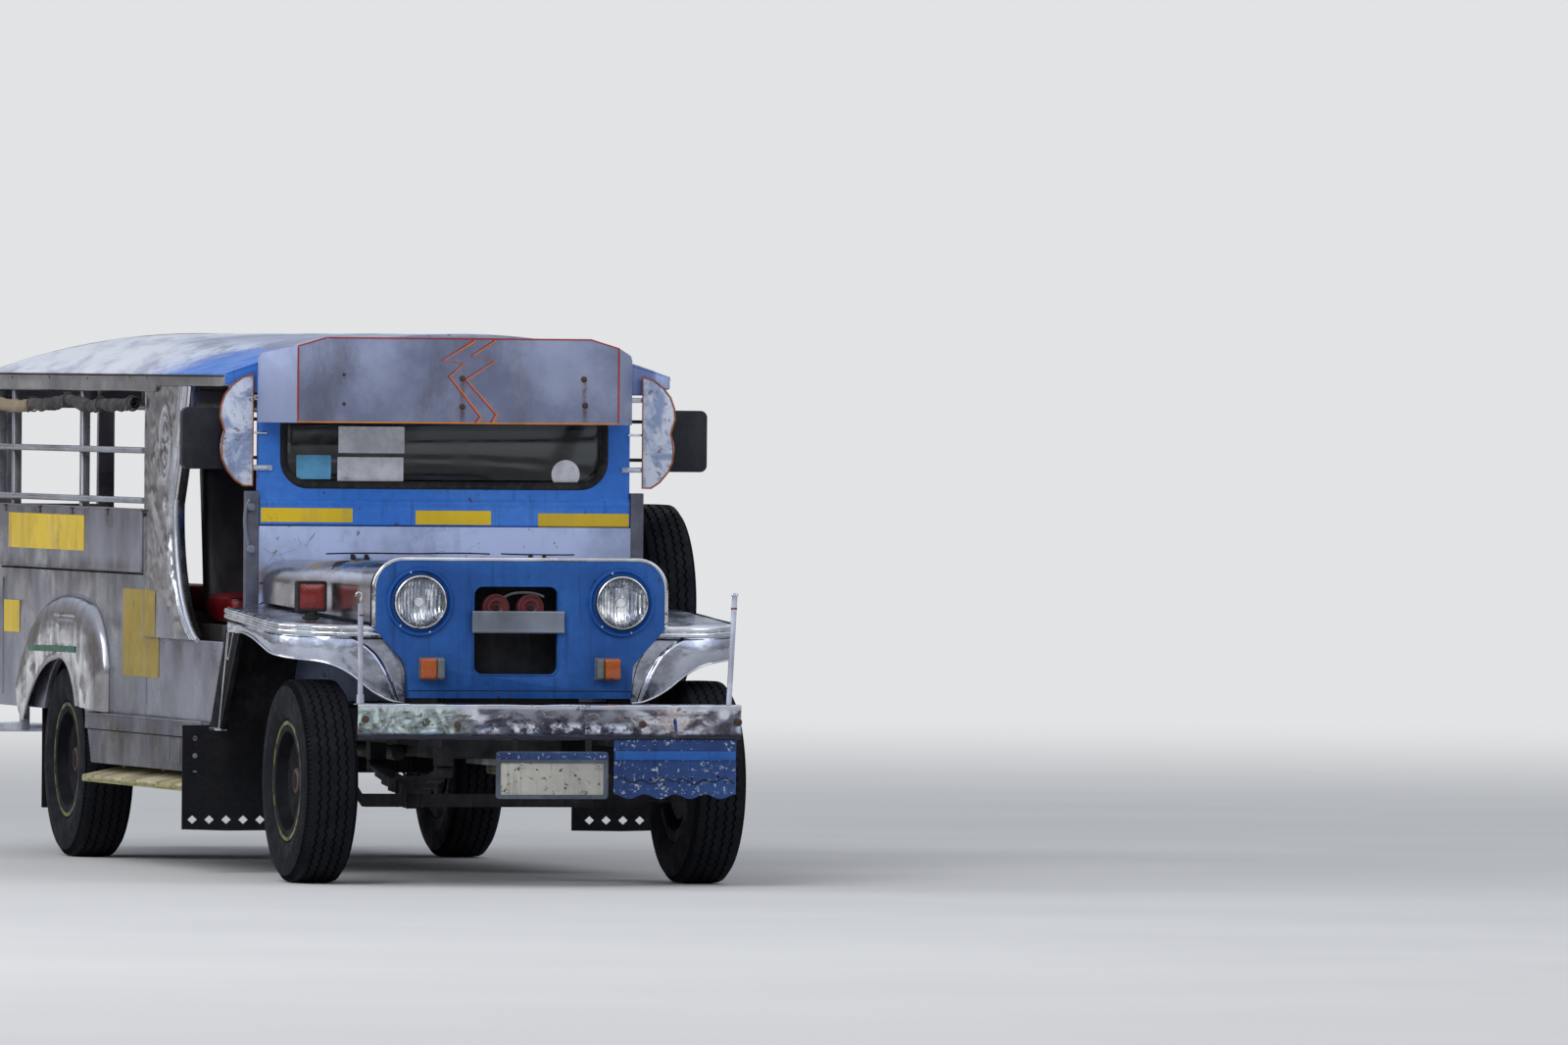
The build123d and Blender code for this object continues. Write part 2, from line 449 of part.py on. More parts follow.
# Floor with seat boxes and the covers over the rear wheels
COVER_HALF, COVER_X0, COVER_Z1, SHEET = 370.0, 565.0, 722.0, 12.0
COVER_Y0, COVER_Y1 = WHEELBASE - COVER_HALF, WHEELBASE + COVER_HALF
SEAT_X, SEAT_Y0, SEAT_Y1, SEAT_Z0, SEAT_Z1, SEAT_BACK_Z1 = 640.0, 1440.0, 1900.0, 850.0, 960.0, 1420.0
BENCH_X0, BENCH_Y0, BENCH_Y1, BENCH_Z0, BENCH_Z1, BENCH_BACK_Z1 = 385.0, 2150.0, BODY_Y1 - 100, 890.0, 980.0, 1225.0
floor_deck = block(-WALL_X0, WALL_X0, BODY_Y0, BODY_Y1, RAIL_Z1, FLOOR_Z)
floor_deck += block(-SEAT_X, SEAT_X, SEAT_Y0, SEAT_Y1, FLOOR_Z - 1, SEAT_Z0)
floor_deck -= block(-SEAT_X + SHEET, SEAT_X - SHEET, SEAT_Y0 + SHEET, SEAT_Y1 - SHEET, FLOOR_Z, SEAT_Z0 - SHEET)
for side in (-1, 1):
    bench_box = block(side * BENCH_X0, side * WALL_X0, BENCH_Y0, BENCH_Y1, FLOOR_Z - 1, BENCH_Z0)
    bench_box -= block(side * (BENCH_X0 + SHEET), side * (WALL_X0 + 1), BENCH_Y0 + SHEET, BENCH_Y1 - SHEET,
                       FLOOR_Z, BENCH_Z0 - SHEET)
    floor_deck += bench_box
    floor_deck += block(side * COVER_X0, side * WALL_X0, COVER_Y0, COVER_Y1, RAIL_Z1, COVER_Z1)
    floor_deck -= block(side * (COVER_X0 + 10), side * (WALL_X0 + 1), COVER_Y0 + 10, COVER_Y1 - 10, 500, COVER_Z1 - 10)

# Seats
CUSHION_X, BACK_LEAN = SEAT_X - 20, 110.0
front_seat = block(-CUSHION_X, CUSHION_X, SEAT_Y0, SEAT_Y1 - 20, SEAT_Z0 + GAP, SEAT_Z1)
front_seat += side_plate([(SEAT_Y1 - 70, SEAT_Z1), (SEAT_Y1 - 20, SEAT_Z0 + GAP), (SEAT_Y1 + 30, SEAT_Z0 + GAP),
                          (SEAT_Y1 - 20 + BACK_LEAN, SEAT_BACK_Z1), (SEAT_Y1 - 110 + BACK_LEAN, SEAT_BACK_Z1)],
                         -CUSHION_X, CUSHION_X)
bench_cushions = Part()
for side in (-1, 1):
    outer = side * (WALL_X0 - GAP)
    bench_cushions += block(side * BENCH_X0, outer, BENCH_Y0, BENCH_Y1, BENCH_Z0 + GAP, BENCH_Z1)
    bench_cushions += block(side * 690, outer, BENCH_Y0, BENCH_Y1, BENCH_Z1 - 1, BENCH_BACK_Z1)

# Side panels, with a ledge at the seam, the window posts above and the wheel arch below
ARCH_R = 370.0
side_panel = side_plate([(BODY_Y0, PANEL_Z0), (BODY_Y0, SILL_Z), (DOOR_Y1, SILL_Z), (DOOR_Y1, SEAM_Z),
                         (BODY_Y1, SEAM_Z), (BODY_Y1, PANEL_Z0)], WALL_X0, WALL_X1)
side_panel -= rod((WALL_X0 - 5, WHEELBASE, AXLE_Z), (WALL_X1 + 5, WHEELBASE, AXLE_Z), ARCH_R)
side_panel += block(WALL_X0, UPPER_X1, DOOR_Y1, BODY_Y1, SEAM_Z, WINDOW_Z0)
for y in ((DOOR_Y1 + BODY_Y1 - 346) / 2, BODY_Y1 - 280, BODY_Y1 - 20):
    side_panel += block(WALL_X0, WALL_X1 + 5, y - 20, y + 20, WINDOW_Z0 - 1, EAVE_Z0)
side_panels = both_sides(side_panel)

# Door pillars: short posts beside the cowl and the curved panels behind the door openings
WAIST = (1580, 1264)
curve = ThreePointArc((1250, SILL_Z), (1468, 938), WAIST)
curve += ThreePointArc(WAIST, (1495, 1415), (1380, EAVE_Z0 + EAVE_STEP))
curve += Polyline((1380, EAVE_Z0 + EAVE_STEP), (EAVE_STEP_Y, EAVE_Z0 + EAVE_STEP), (EAVE_STEP_Y, EAVE_Z0),
                  (DOOR_Y1, EAVE_Z0), (DOOR_Y1, SILL_Z), (1250, SILL_Z))
pillar = Pos(WALL_X0, 0, 0) * extrude(Plane.YZ * make_face(curve), PILLAR_X1 - WALL_X0, dir=(1, 0, 0))
SPARE_X, SPARE_Y, SPARE_Z = 833.0, 1262.0, 935.0
spare_well = rod((WALL_X0 - 43, SPARE_Y, SPARE_Z), (950, SPARE_Y, SPARE_Z), TYRE_R + 12)
door_pillars = both_sides(pillar) - spare_well
door_pillars += block(FRAME_X0 - POST_W, FRAME_X0, COWL_Y0, BODY_Y0, SILL_Z, POST_Z1)
door_pillars += block(FRAME_X1, FRAME_X1 + POST_W, COWL_Y0, BODY_Y0, SILL_Z, POST_Z1)
side_panels -= spare_well
floor_deck -= spare_well

# Rear wall with the entrance
rear_wall = block(-WALL_X0, WALL_X0, REAR_WALL_Y0, BODY_Y1, FLOOR_Z, EAVE_Z0)
rear_wall -= block(-340, 340, REAR_WALL_Y0 - 30, BODY_Y1 + 10, FLOOR_Z - 1, EAVE_Z0 - 57)
rear_wall -= both_sides(block(400, 700, REAR_WALL_Y0 - 30, BODY_Y1 + 10, WINDOW_Z0, EAVE_Z0 - 67))

# Window rails, roof bows with hung handrails, and the post that carries the spare wheel
RAIL_R, BOW_R, HANDRAIL_X = 11.0, 14.0, 420.0
BOW_Z, HANDRAIL_Z = EAVE_Z0 + 38, EAVE_Z0 - 57
body_rails = Part()
for side in (-1, 1):
    for z in (WINDOW_Z0 + 30, WINDOW_Z0 + 205):
        x = side * (WALL_X1 + 5 + RAIL_R)
        body_rails += rod((x, DOOR_Y1 + 1, z), (x, BODY_Y1 - 5, z), RAIL_R)
    body_rails += rod((side * HANDRAIL_X, 1000, HANDRAIL_Z), (side * HANDRAIL_X, REAR_WALL_Y0, HANDRAIL_Z), BOW_R)
for y in (1300.0, 2050.0, 2800.0, 3600.0, BODY_Y1 - 130):
    body_rails += rod((-WALL_X0, y, BOW_Z), (WALL_X0, y, BOW_Z), BOW_R)
    body_rails += both_sides(rod((HANDRAIL_X, y, HANDRAIL_Z), (HANDRAIL_X, y, BOW_Z), 8))
POST_X0, POST_X1 = 672.0, 700.0
body_rails += block(POST_X0, POST_X1, SPARE_Y - 20, SPARE_Y + 20, FLOOR_Z, 1380)
body_rails += rod((POST_X1 - 1, SPARE_Y, SPARE_Z), (SPARE_X - HUB_IN, SPARE_Y, SPARE_Z), 46)
body_rails += rod((POST_X1 - 1, SPARE_Y, SPARE_Z), (SPARE_X + SPINDLE_OUT, SPARE_Y, SPARE_Z), SPINDLE_R)

# Roof with its side fascias and its end boards


def roof_arc(drop):
    """Curved line across the roof, lower by the drop, as three points."""
    half = UPPER_X1 - 4 * drop / ROOF_T
    return ThreePointArc((-half, EAVE_Z1 - drop), (0, EAVE_Z1 + ROOF_RISE - drop), (half, EAVE_Z1 - drop))


def roof_prism(wire, y0, y1):
    """Cross section of the roof drawn out from y0 to y1."""
    return Pos(0, y0, 0) * extrude(Plane.XZ * make_face(wire), y1 - y0, dir=(0, 1, 0))


outer_arc, inner_arc = roof_arc(0), roof_arc(ROOF_T)
sheet_wire = outer_arc + Line(outer_arc @ 1, inner_arc @ 1) + inner_arc + Line(inner_arc @ 0, outer_arc @ 0)
roof = roof_prism(sheet_wire, ROOF_Y0, ROOF_Y1)
VISOR_X0, VISOR_X1, RETURN_OUT, RETURN_BACK = -585.0, 550.0, 96.0, 188.0
for side, x in ((-1, VISOR_X0), (1, VISOR_X1)):
    x_front, x_back = abs(x) - 26, abs(x) - 26 + RETURN_OUT
    roof -= plan_plate([(side * x_front, ROOF_Y0 - 100), (side * x_front, ROOF_Y0),
                        (side * x_back, ROOF_Y0 + RETURN_BACK - 12), (side * x_back, FRAME_Y0),
                        (side * 820, FRAME_Y0), (side * 820, ROOF_Y0 - 100)], EAVE_Z0 - 100, EAVE_Z1 + ROOF_RISE + 100)
for side in (-1, 1):
    roof += block(side * WALL_X0, side * UPPER_X1, FRAME_Y0, ROOF_Y1, EAVE_Z0 + EAVE_STEP, EAVE_Z1)
    roof += block(side * WALL_X0, side * UPPER_X1, EAVE_STEP_Y, ROOF_Y1, EAVE_Z0, EAVE_Z1)
end_arc = roof_arc(ROOF_T - 1)
end_wire = end_arc + Polyline(end_arc @ 1, (WALL_X0 + 15, EAVE_Z0), (-WALL_X0 - 15, EAVE_Z0), end_arc @ 0)
END_BOARD_T = 25.0
roof += roof_prism(end_wire, FRAME_Y0, FRAME_Y0 + END_BOARD_T)
roof += roof_prism(end_wire, BODY_Y1 - 20, BODY_Y1 - 20 + END_BOARD_T)

# Visor board over the windshield, with a return plate slanting back at each end
VISOR_Y0, VISOR_T = 600.0, 12.0
VISOR_Z0, VISOR_Z1, CUT_W, CUT_H = EAVE_Z0 - 102, EAVE_Z1 + 127, 100.0, 30.0
visor_board = front_plate([(VISOR_X0, VISOR_Z0), (VISOR_X0, VISOR_Z1 - CUT_H), (VISOR_X0 + CUT_W, VISOR_Z1),
                           (VISOR_X1 - CUT_W, VISOR_Z1), (VISOR_X1, VISOR_Z1 - CUT_H), (VISOR_X1, VISOR_Z0)],
                          VISOR_Y0, VISOR_Y0 + VISOR_T)
for side, x in ((-1, VISOR_X0), (1, VISOR_X1)):
    end_x, top = abs(x) + RETURN_OUT, VISOR_Z1 - CUT_H
    strip = plan_plate([(x - side * 10, VISOR_Y0 + VISOR_T - 1), (x, VISOR_Y0), (side * end_x, VISOR_Y0 + RETURN_BACK),
                        (side * (end_x - 12), VISOR_Y0 + RETURN_BACK + 6)], VISOR_Z0, top)
    corner_cut = [(abs(x), top), (end_x - 26, top - 21), (end_x - 10, top - 27), (end_x, top - 44),
                  (end_x + 20, top - 60), (end_x + 20, top + 10), (abs(x), top + 10)]
    strip -= front_plate([(side * u, z) for u, z in corner_cut], VISOR_Y0 - 10, VISOR_Y0 + RETURN_BACK + 20)
    visor_board += strip

# Wing plates beside the windshield: two round lobes each, on flat strips against the frame
WING_Y0, WING_Y1 = FRAME_Y0 - 13, FRAME_Y0 - 7
lobes = ThreePointArc((722, 1338), (800, 1435), (792, 1527)) + ThreePointArc((792, 1527), (800, 1610), (694, 1719))
lobes += Polyline((694, 1719), (690, 1719), (690, 1338), (722, 1338))
wing_plates = both_sides(Pos(0, WING_Y0, 0) * extrude(Plane.XZ * make_face(lobes), WING_Y1 - WING_Y0, dir=(0, 1, 0)))
for z in (1400.0, 1640.0):
    wing_plates += both_sides(block(FRAME_X1 - 30, 740, WING_Y1 - 1, FRAME_Y0, z - 9, z + 9))

# Mirrors on arms from the windshield frame
MIRROR_X0, MIRROR_X1, MIRROR_Z0, MIRROR_Z1, MIRROR_T = 735.0, 930.0, 1394.0, 1606.0, 40.0
MIRROR_Y0 = FRAME_Y1 - 17
head = Plane.XZ * (Pos((MIRROR_X0 + MIRROR_X1) / 2, (MIRROR_Z0 + MIRROR_Z1) / 2)
                   * RectangleRounded(MIRROR_X1 - MIRROR_X0, MIRROR_Z1 - MIRROR_Z0, 24))
mirrors = both_sides(Pos(0, MIRROR_Y0, 0) * extrude(head, MIRROR_T, dir=(0, 1, 0)))
for side, x in ((-1, FRAME_X0), (1, FRAME_X1)):
    for z in (MIRROR_Z0 + 40, MIRROR_Z1 - 40):
        mirrors += rod((x, MIRROR_Y0 + 8, z), (side * (MIRROR_X0 + 5), MIRROR_Y0 + 8, z), 6)

# Small lamps: turn signals, the lamp on the right fender and the rear lamps
small_lamps = block(-356, -268, SHELL_Y0 - 40, SHELL_Y0, 693, 768)
small_lamps += block(259, 347, SHELL_Y0 - 40, SHELL_Y0, 693, 768)
LAMP_Y, LAMP_DEPTH, LAMP_W, LAMP_HOOD_GAP = 200.0, 25.0, 106.0, 12.0
lamp_share = (LAMP_Y + LAMP_DEPTH - HOOD_Y0) / (HOOD_Y1 - HOOD_Y0)
LAMP_X0 = round(HOOD_FRONT["half"] + lamp_share * (HOOD_REAR["half"] - HOOD_FRONT["half"])) + LAMP_HOOD_GAP
small_lamps += block(-LAMP_X0 - LAMP_W, -LAMP_X0, LAMP_Y - LAMP_DEPTH, LAMP_Y + LAMP_DEPTH, 915, 1020)
small_lamps += block(-LAMP_X0 - 72, -LAMP_X0 - 34, LAMP_Y - 14, LAMP_Y + 14, fender_top(LAMP_Y + 14), 916)
for side in (-1, 1):
    small_lamps += block(side * 600, side * 700, BODY_Y1, BODY_Y1 + 40, 900, 1040)

# Rolled tarpaulins under the eaves
ROLL_R = 31.0
ROLL_X, ROLL_Z = WALL_X1 + 5 + ROLL_R + GAP, EAVE_Z0 - 45
tarpaulin_rolls = both_sides(rod((ROLL_X, DOOR_Y1 + 70, ROLL_Z), (ROLL_X, BODY_Y1 - 30, ROLL_Z), ROLL_R))

# Rear fenders: rounded skin on a raised bead, open over the wheel
SKIN_X0, SKIN_X1, BEAD_X1, BEAD_W = 784.0, 802.0, 815.0, 26.0


def rear_skin(inset):
    """Side view of a rear fender, drawn in from its outer edge and from its wheel opening by the inset."""

    def at(offset, z, centre, way):
        dy, dz = offset - centre[0], z - centre[1]
        shift = way * inset / math.hypot(dy, dz)
        return (WHEELBASE + offset + dy * shift, z + dz * shift)

    edge = [at(*p, (-20, 480), -1) for p in ((-700, 525), (-704, 676), (-610, 825), (-414, 906), (-111, 926),
                                             (199, 897), (480, 802), (697, 602), (640, 530), (561, 474))]
    opening = [at(*p, (0, AXLE_Z), 1) for p in ((470, 474), (190, 660), (-40, 702), (-290, 640), (-385, 476))]
    wire = Line(edge[0], edge[1]) + ThreePointArc(*edge[1:4]) + ThreePointArc(*edge[3:6]) + ThreePointArc(*edge[5:8])
    wire += Polyline(*edge[7:], opening[0])
    wire += ThreePointArc(*opening[0:3]) + ThreePointArc(*opening[2:5])
    wire += Polyline(opening[4], (opening[4][0], edge[0][1]), edge[0])
    return Plane.YZ * make_face(wire)


skin = Pos(SKIN_X0, 0, 0) * extrude(rear_skin(0), SKIN_X1 - SKIN_X0, dir=(1, 0, 0))
bead = Pos(WALL_X1, 0, 0) * extrude(rear_skin(0), BEAD_X1 - WALL_X1, dir=(1, 0, 0))
bead -= Pos(WALL_X1 - 5, 0, 0) * extrude(rear_skin(BEAD_W), BEAD_X1 - WALL_X1 + 10, dir=(1, 0, 0))
rear_fenders = both_sides(skin + bead)

# Sill boxes with their lids, and tilted step boards
SILL_X0, SILL_X1, SILL_Z0, LID_Z0, LID_OUT = 585.0, 780.0, 345.0, 465.0, 8.0
SILL_Y0, SILL_Y1 = 1100.0, WHEELBASE - 390
sill = side_plate([(SILL_Y0, SILL_Z0), (SILL_Y0, PANEL_Z0), (SILL_Y1, PANEL_Z0), (SILL_Y1 - 85, SILL_Z0)],
                  SILL_X0, SILL_X1)
sill += block(SILL_X1 - 1, SILL_X1 + LID_OUT, SILL_Y0 + 30, SILL_Y1 - 20, LID_Z0, PANEL_Z0)
sill_boxes = both_sides(sill)
STEP_Y0, STEP_Y1, STEP_X1 = 1190.0, SILL_Y1 - 115, 820.0
step_side = front_plate([(650, 312), (650, 338), (STEP_X1, 303), (STEP_X1, 279)], STEP_Y0, STEP_Y1)
for y in (1400.0, 2080.0, STEP_Y1 - 130):
    step_side += block(660, 700, y - 20, y + 20, 326, SILL_Z0)
side_steps = both_sides(step_side)

# Rear step, two boards on bars
BAR_X, BAR_R, BAR_Z = 700.0, 16.0, 430.0
BAR_Y0, BAR_Y1 = RAIL_Y1 - 320, LENGTH_REAR_Y - BAR_R
rear_bars = rod((BAR_X, BAR_Y0, BAR_Z + 15), (BAR_X, BAR_Y1, BAR_Z), BAR_R)
rear_bars += rod((0, BAR_Y1, BAR_Z), (BAR_X, BAR_Y1, BAR_Z), BAR_R)
rear_bars += Pos(BAR_X, BAR_Y1, BAR_Z) * Sphere(BAR_R)
rear_bars += block(BAR_X - BAR_R, BAR_X + BAR_R, BAR_Y0 - 4, BAR_Y0 + 22, BAR_Z, PANEL_Z0)
rear_bars += block(RAIL_X0 + 5, RAIL_X1 - 5, RAIL_Y1 - 120, BAR_Y1 + 2, 418, 442)
rear_bars += block(RAIL_X0 + 5, RAIL_X1 - 5, RAIL_Y1 - 120, RAIL_Y1 - 20, 440, RAIL_Z0)
rear_bars += block(0, RAIL_X1, RAIL_Y1, BAR_Y1 + 2, 436, 452)
rear_bars += block(RAIL_X0 + 8, RAIL_X1 - 8, RAIL_Y1 + 60, RAIL_Y1 + 90, 235, 425)
rear_bars += block(0, RAIL_X1, RAIL_Y1 - 60, RAIL_Y1 + 160, 235, 255)
rear_step = both_sides(rear_bars)

# Mud flaps
FLAP_T, REAR_FLAP_Y = 6.0, WHEELBASE + 465
flap = block(522, 863, SILL_Y0 - GAP - FLAP_T, SILL_Y0 - GAP, 150, 512)
flap += block(600, WALL_X0 - 3, REAR_FLAP_Y, REAR_FLAP_Y + FLAP_T, 160, RAIL_Z1 - GAP)
mud_flaps = both_sides(flap)

PIECES = {
    "chassis_frame": chassis_frame,
    "leaf_springs": leaf_springs,
    "front_axle": front_axle,
    "rear_axle": rear_axle,
    "engine_block": engine_block,
    "radiator": radiator,
    "exhaust_pipe": exhaust_pipe,
    "knuckle_right": knuckle(-1),
    "knuckle_left": knuckle(1),
    "front_bumper": front_bumper,
    "number_plate": number_plate,
    "bumper_flap": bumper_flap,
    "grille_shell": grille_shell,
    "headlamps": headlamps,
    "small_lamps": small_lamps,
    "horn_bar": horn_bar,
    "front_fenders": front_fenders,
    "hood": hood,
    "cowl": cowl,
    "steering_wheel": steering_wheel,
    "windshield_frame": windshield_frame,
    "windshield_glass": windshield_glass,
    "visor_board": visor_board,
    "wing_plates": wing_plates,
    "mirrors": mirrors,
    "floor_deck": floor_deck,
    "front_seat": front_seat,
    "bench_cushions": bench_cushions,
    "side_panels": side_panels,
    "door_pillars": door_pillars,
    "rear_wall": rear_wall,
    "body_rails": body_rails,
    "roof": roof,
    "tarpaulin_rolls": tarpaulin_rolls,
    "rear_fenders": rear_fenders,
    "sill_boxes": sill_boxes,
    "side_steps": side_steps,
    "rear_step": rear_step,
    "mud_flaps": mud_flaps,
    "spare_tyre": tyre(SPARE_X, SPARE_Y, SPARE_Z),
    "spare_rim": rim(SPARE_X, SPARE_Y, SPARE_Z, 1),
}
for end, y in (("front", 0.0), ("rear", WHEELBASE)):
    for name, side in (("right", -1), ("left", 1)):
        PIECES[f"tyre_{end}_{name}"] = tyre(side * WHEEL_X, y, AXLE_Z)
        PIECES[f"rim_{end}_{name}"] = rim(side * WHEEL_X, y, AXLE_Z, side)

os.makedirs("parts", exist_ok=True)
for node, shape in PIECES.items():
    export_step(Pos(0, -ORIGIN_Y, 0) * shape, f"parts/{node}.step")
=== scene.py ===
import json
from math import atan2, copysign, cos, dist, exp, hypot, pi, radians, sin, sqrt

import bmesh
import bpy
from mathutils import Matrix, Vector, noise

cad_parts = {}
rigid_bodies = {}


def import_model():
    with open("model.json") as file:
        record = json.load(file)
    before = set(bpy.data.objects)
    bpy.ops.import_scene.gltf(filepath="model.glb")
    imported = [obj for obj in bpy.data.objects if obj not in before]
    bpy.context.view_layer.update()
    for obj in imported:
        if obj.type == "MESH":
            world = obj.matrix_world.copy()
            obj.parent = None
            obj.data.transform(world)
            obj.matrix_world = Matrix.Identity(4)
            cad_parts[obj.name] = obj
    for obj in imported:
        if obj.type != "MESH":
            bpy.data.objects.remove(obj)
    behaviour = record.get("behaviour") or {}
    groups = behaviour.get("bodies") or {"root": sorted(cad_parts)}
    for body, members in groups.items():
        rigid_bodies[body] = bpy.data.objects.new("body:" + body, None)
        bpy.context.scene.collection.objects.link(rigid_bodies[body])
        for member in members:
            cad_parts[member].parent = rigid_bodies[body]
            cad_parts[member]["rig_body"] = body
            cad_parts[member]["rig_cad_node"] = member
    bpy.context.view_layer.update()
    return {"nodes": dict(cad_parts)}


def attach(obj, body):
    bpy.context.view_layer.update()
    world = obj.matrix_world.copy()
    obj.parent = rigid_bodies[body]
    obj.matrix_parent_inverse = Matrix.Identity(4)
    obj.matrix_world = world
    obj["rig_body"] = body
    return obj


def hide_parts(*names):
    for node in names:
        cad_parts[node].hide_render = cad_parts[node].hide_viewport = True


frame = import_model()

bl_info = {
    "name": "Jeepney looks",
    "version": (1, 0, 0),
    "blender": (4, 5, 0),
    "location": "View3D > Sidebar > Jeepney",
    "description": "Materials and fine parts for the packed jeepney model",
    "category": "Object",
}

# Y of the front axle in metres; the rear axle's distance from it and the height of the wheels' middle in millimetres
AXLE_Y = -2.064
REAR_AXLE, WHEEL_Z = 3315, 345
# Closest distance of two points, in metres, and the angle under which faces count as one
MERGE, FLAT = 0.00002, radians(1.2)
SIDES = ((-1, "right"), (1, "left"))


def tone(red, green, blue):
    """Linear colour from display values of 0 to 255."""
    return tuple((c / 255) ** 2.2 for c in (red, green, blue))


def colour_property(label, text, value):
    return bpy.props.FloatVectorProperty(name=label, description=text, default=value, subtype="COLOR", size=3,
                                         min=0, max=1)


class JeepneyColours(bpy.types.PropertyGroup):
    """Main colours of the finishes."""

    shell: colour_property("Shell blue", "Paint of the grille shell", tone(34, 84, 156))
    frame_blue: colour_property("Frame blue", "Paint of the windshield frame", tone(56, 118, 212))
    cowl: colour_property("Cowl paint", "Pale paint of the cowl", tone(178, 193, 232))
    sheet: colour_property("Sheet steel", "Bare sheet steel of the body sides", tone(129, 130, 142))
    roof: colour_property("Roof paint", "Pale paint of the roof", tone(234, 238, 246))
    canvas: colour_property("Tarpaulin", "Canvas of the rolled side covers", tone(44, 38, 38))
    vinyl: colour_property("Seat covers", "Vinyl of the seats", tone(150, 26, 34))
    patch: colour_property("Yellow patches", "Paint of the blank sign patches", tone(232, 196, 30))


class JeepneySizes(bpy.types.PropertyGroup):
    """Sizes of the fine work."""

    edge: bpy.props.FloatProperty(name="Edge rounding", description="Width of the rounding on sheet edges",
                                  default=0.003, min=0.0005, max=0.01, unit="LENGTH")
    tread_steps: bpy.props.IntProperty(name="Tread pitches", description="Blocks round one tyre",
                                       default=128, min=48, max=160)


def only(obj):
    """Selects one object alone and makes it active."""
    bpy.ops.object.select_all(action="DESELECT")
    obj.select_set(True)
    bpy.context.view_layer.objects.active = obj


def edit(obj, kind="FACE", pick=None):
    """Opens edit mode with the parts selected that pick accepts, or all of them."""
    only(obj)
    bpy.ops.object.mode_set(mode="EDIT")
    bpy.ops.mesh.select_mode(type=kind)
    bpy.ops.mesh.select_all(action="DESELECT" if pick else "SELECT")
    if pick:
        bm = bmesh.from_edit_mesh(obj.data)
        for part in {"FACE": bm.faces, "EDGE": bm.edges, "VERT": bm.verts}[kind]:
            if pick(part):
                part.select_set(True)
        bm.select_flush_mode()
        bmesh.update_edit_mesh(obj.data)


def leave():
    bpy.ops.object.mode_set(mode="OBJECT")


def settle(obj):
    """Puts the object's place into its mesh."""
    only(obj)
    bpy.ops.object.transform_apply(location=True, rotation=True, scale=True)


def modified(obj, kind, **settings):
    """Adds a modifier and applies it."""
    only(obj)
    modifier = obj.modifiers.new(kind.title(), kind)
    for key, value in settings.items():
        setattr(modifier, key, value)
    bpy.ops.object.modifier_apply(modifier=modifier.name)
    return obj


def smooth(obj, angle=35):
    only(obj)
    bpy.ops.object.shade_smooth_by_angle(angle=radians(angle))
    return obj


def rounded(obj, width=0.003, segments=2, angle=35):
    """Rounds the sharp edges and shades the rest smooth."""
    modified(obj, "BEVEL", width=width, segments=segments, limit_method="ANGLE", angle_limit=radians(angle))
    return smooth(obj, angle)


def outward(obj):
    """Merges doubles and turns every face outwards."""
    edit(obj)
    bpy.ops.mesh.remove_doubles(threshold=MERGE)
    bpy.ops.mesh.normals_make_consistent(inside=False)
    leave()
    return obj


def placed(obj, name, finish, slot=None, stands_for=(), body="chassis"):
    """Names a finished piece, gives it its material and its body."""
    obj.name = name
    obj.data.name = name
    obj.data.materials.clear()
    obj.data.materials.append(material(finish))
    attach(obj, body)
    if stands_for:
        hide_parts(*stands_for)
    return obj


def copied(obj, move=None, mirror=False, flip=False):
    """A copy with its own mesh, moved or mirrored across the middle of the vehicle."""
    only(obj)
    bpy.ops.object.duplicate(linked=False)
    twin = bpy.context.view_layer.objects.active
    twin.parent = None
    if mirror:
        twin.data.transform(Matrix.Diagonal((-1, 1, 1, 1)))
        twin.data.flip_normals()
    if move is not None:
        twin.data.transform(move)
        if flip:
            twin.data.flip_normals()
    return twin


def dressed(node, finish, slot=None, width=None, segments=2, angle=35, name=None):
    """A merged copy of a CAD node with rounded edges, which stands for the node."""
    source = frame["nodes"][node]
    piece = source.copy()
    piece.data = source.data.copy()
    bpy.context.scene.collection.objects.link(piece)
    body = source["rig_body"]
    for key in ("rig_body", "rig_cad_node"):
        del piece[key]
    piece.parent = None
    edit(piece)
    bpy.ops.mesh.customdata_custom_splitnormals_clear()
    bpy.ops.mesh.remove_doubles(threshold=MERGE)
    bpy.ops.mesh.dissolve_limited(angle_limit=FLAT)
    leave()
    size = bpy.context.scene.jeepney_sizes.edge if width is None else width
    if size:
        rounded(piece, size, segments, angle)
    else:
        smooth(piece, angle)
    return placed(piece, name or node + "_skin", finish, slot, (node,), body=body)


def joined(objs):
    """Several meshes as one object."""
    bpy.ops.object.select_all(action="DESELECT")
    for obj in objs:
        obj.select_set(True)
    bpy.context.view_layer.objects.active = objs[0]
    if len(objs) > 1:
        bpy.ops.object.join()
    return objs[0]


def both(obj):
    """The piece and its mirror image across the middle of the vehicle, as one object."""
    return joined([obj, copied(obj, mirror=True)])


def paired(obj, *rest):
    """The same as placed, for the piece and its mirror image as one object."""
    return placed(both(obj), *rest)


def added(operator, **settings):
    """The object that an add operator makes, with nothing else selected."""
    bpy.ops.object.select_all(action="DESELECT")
    operator(**settings)
    return bpy.context.view_layer.objects.active


def block(lo, hi, width=0.002, segments=2):
    """A rounded bar or plate between two corners."""
    centre = [(a + b) / 2 for a, b in zip(lo, hi)]
    size = [abs(b - a) for a, b in zip(lo, hi)]
    obj = added(bpy.ops.mesh.primitive_cube_add, size=1, location=centre, scale=size)
    settle(obj)
    return rounded(obj, min(width, min(size) * 0.45), segments)


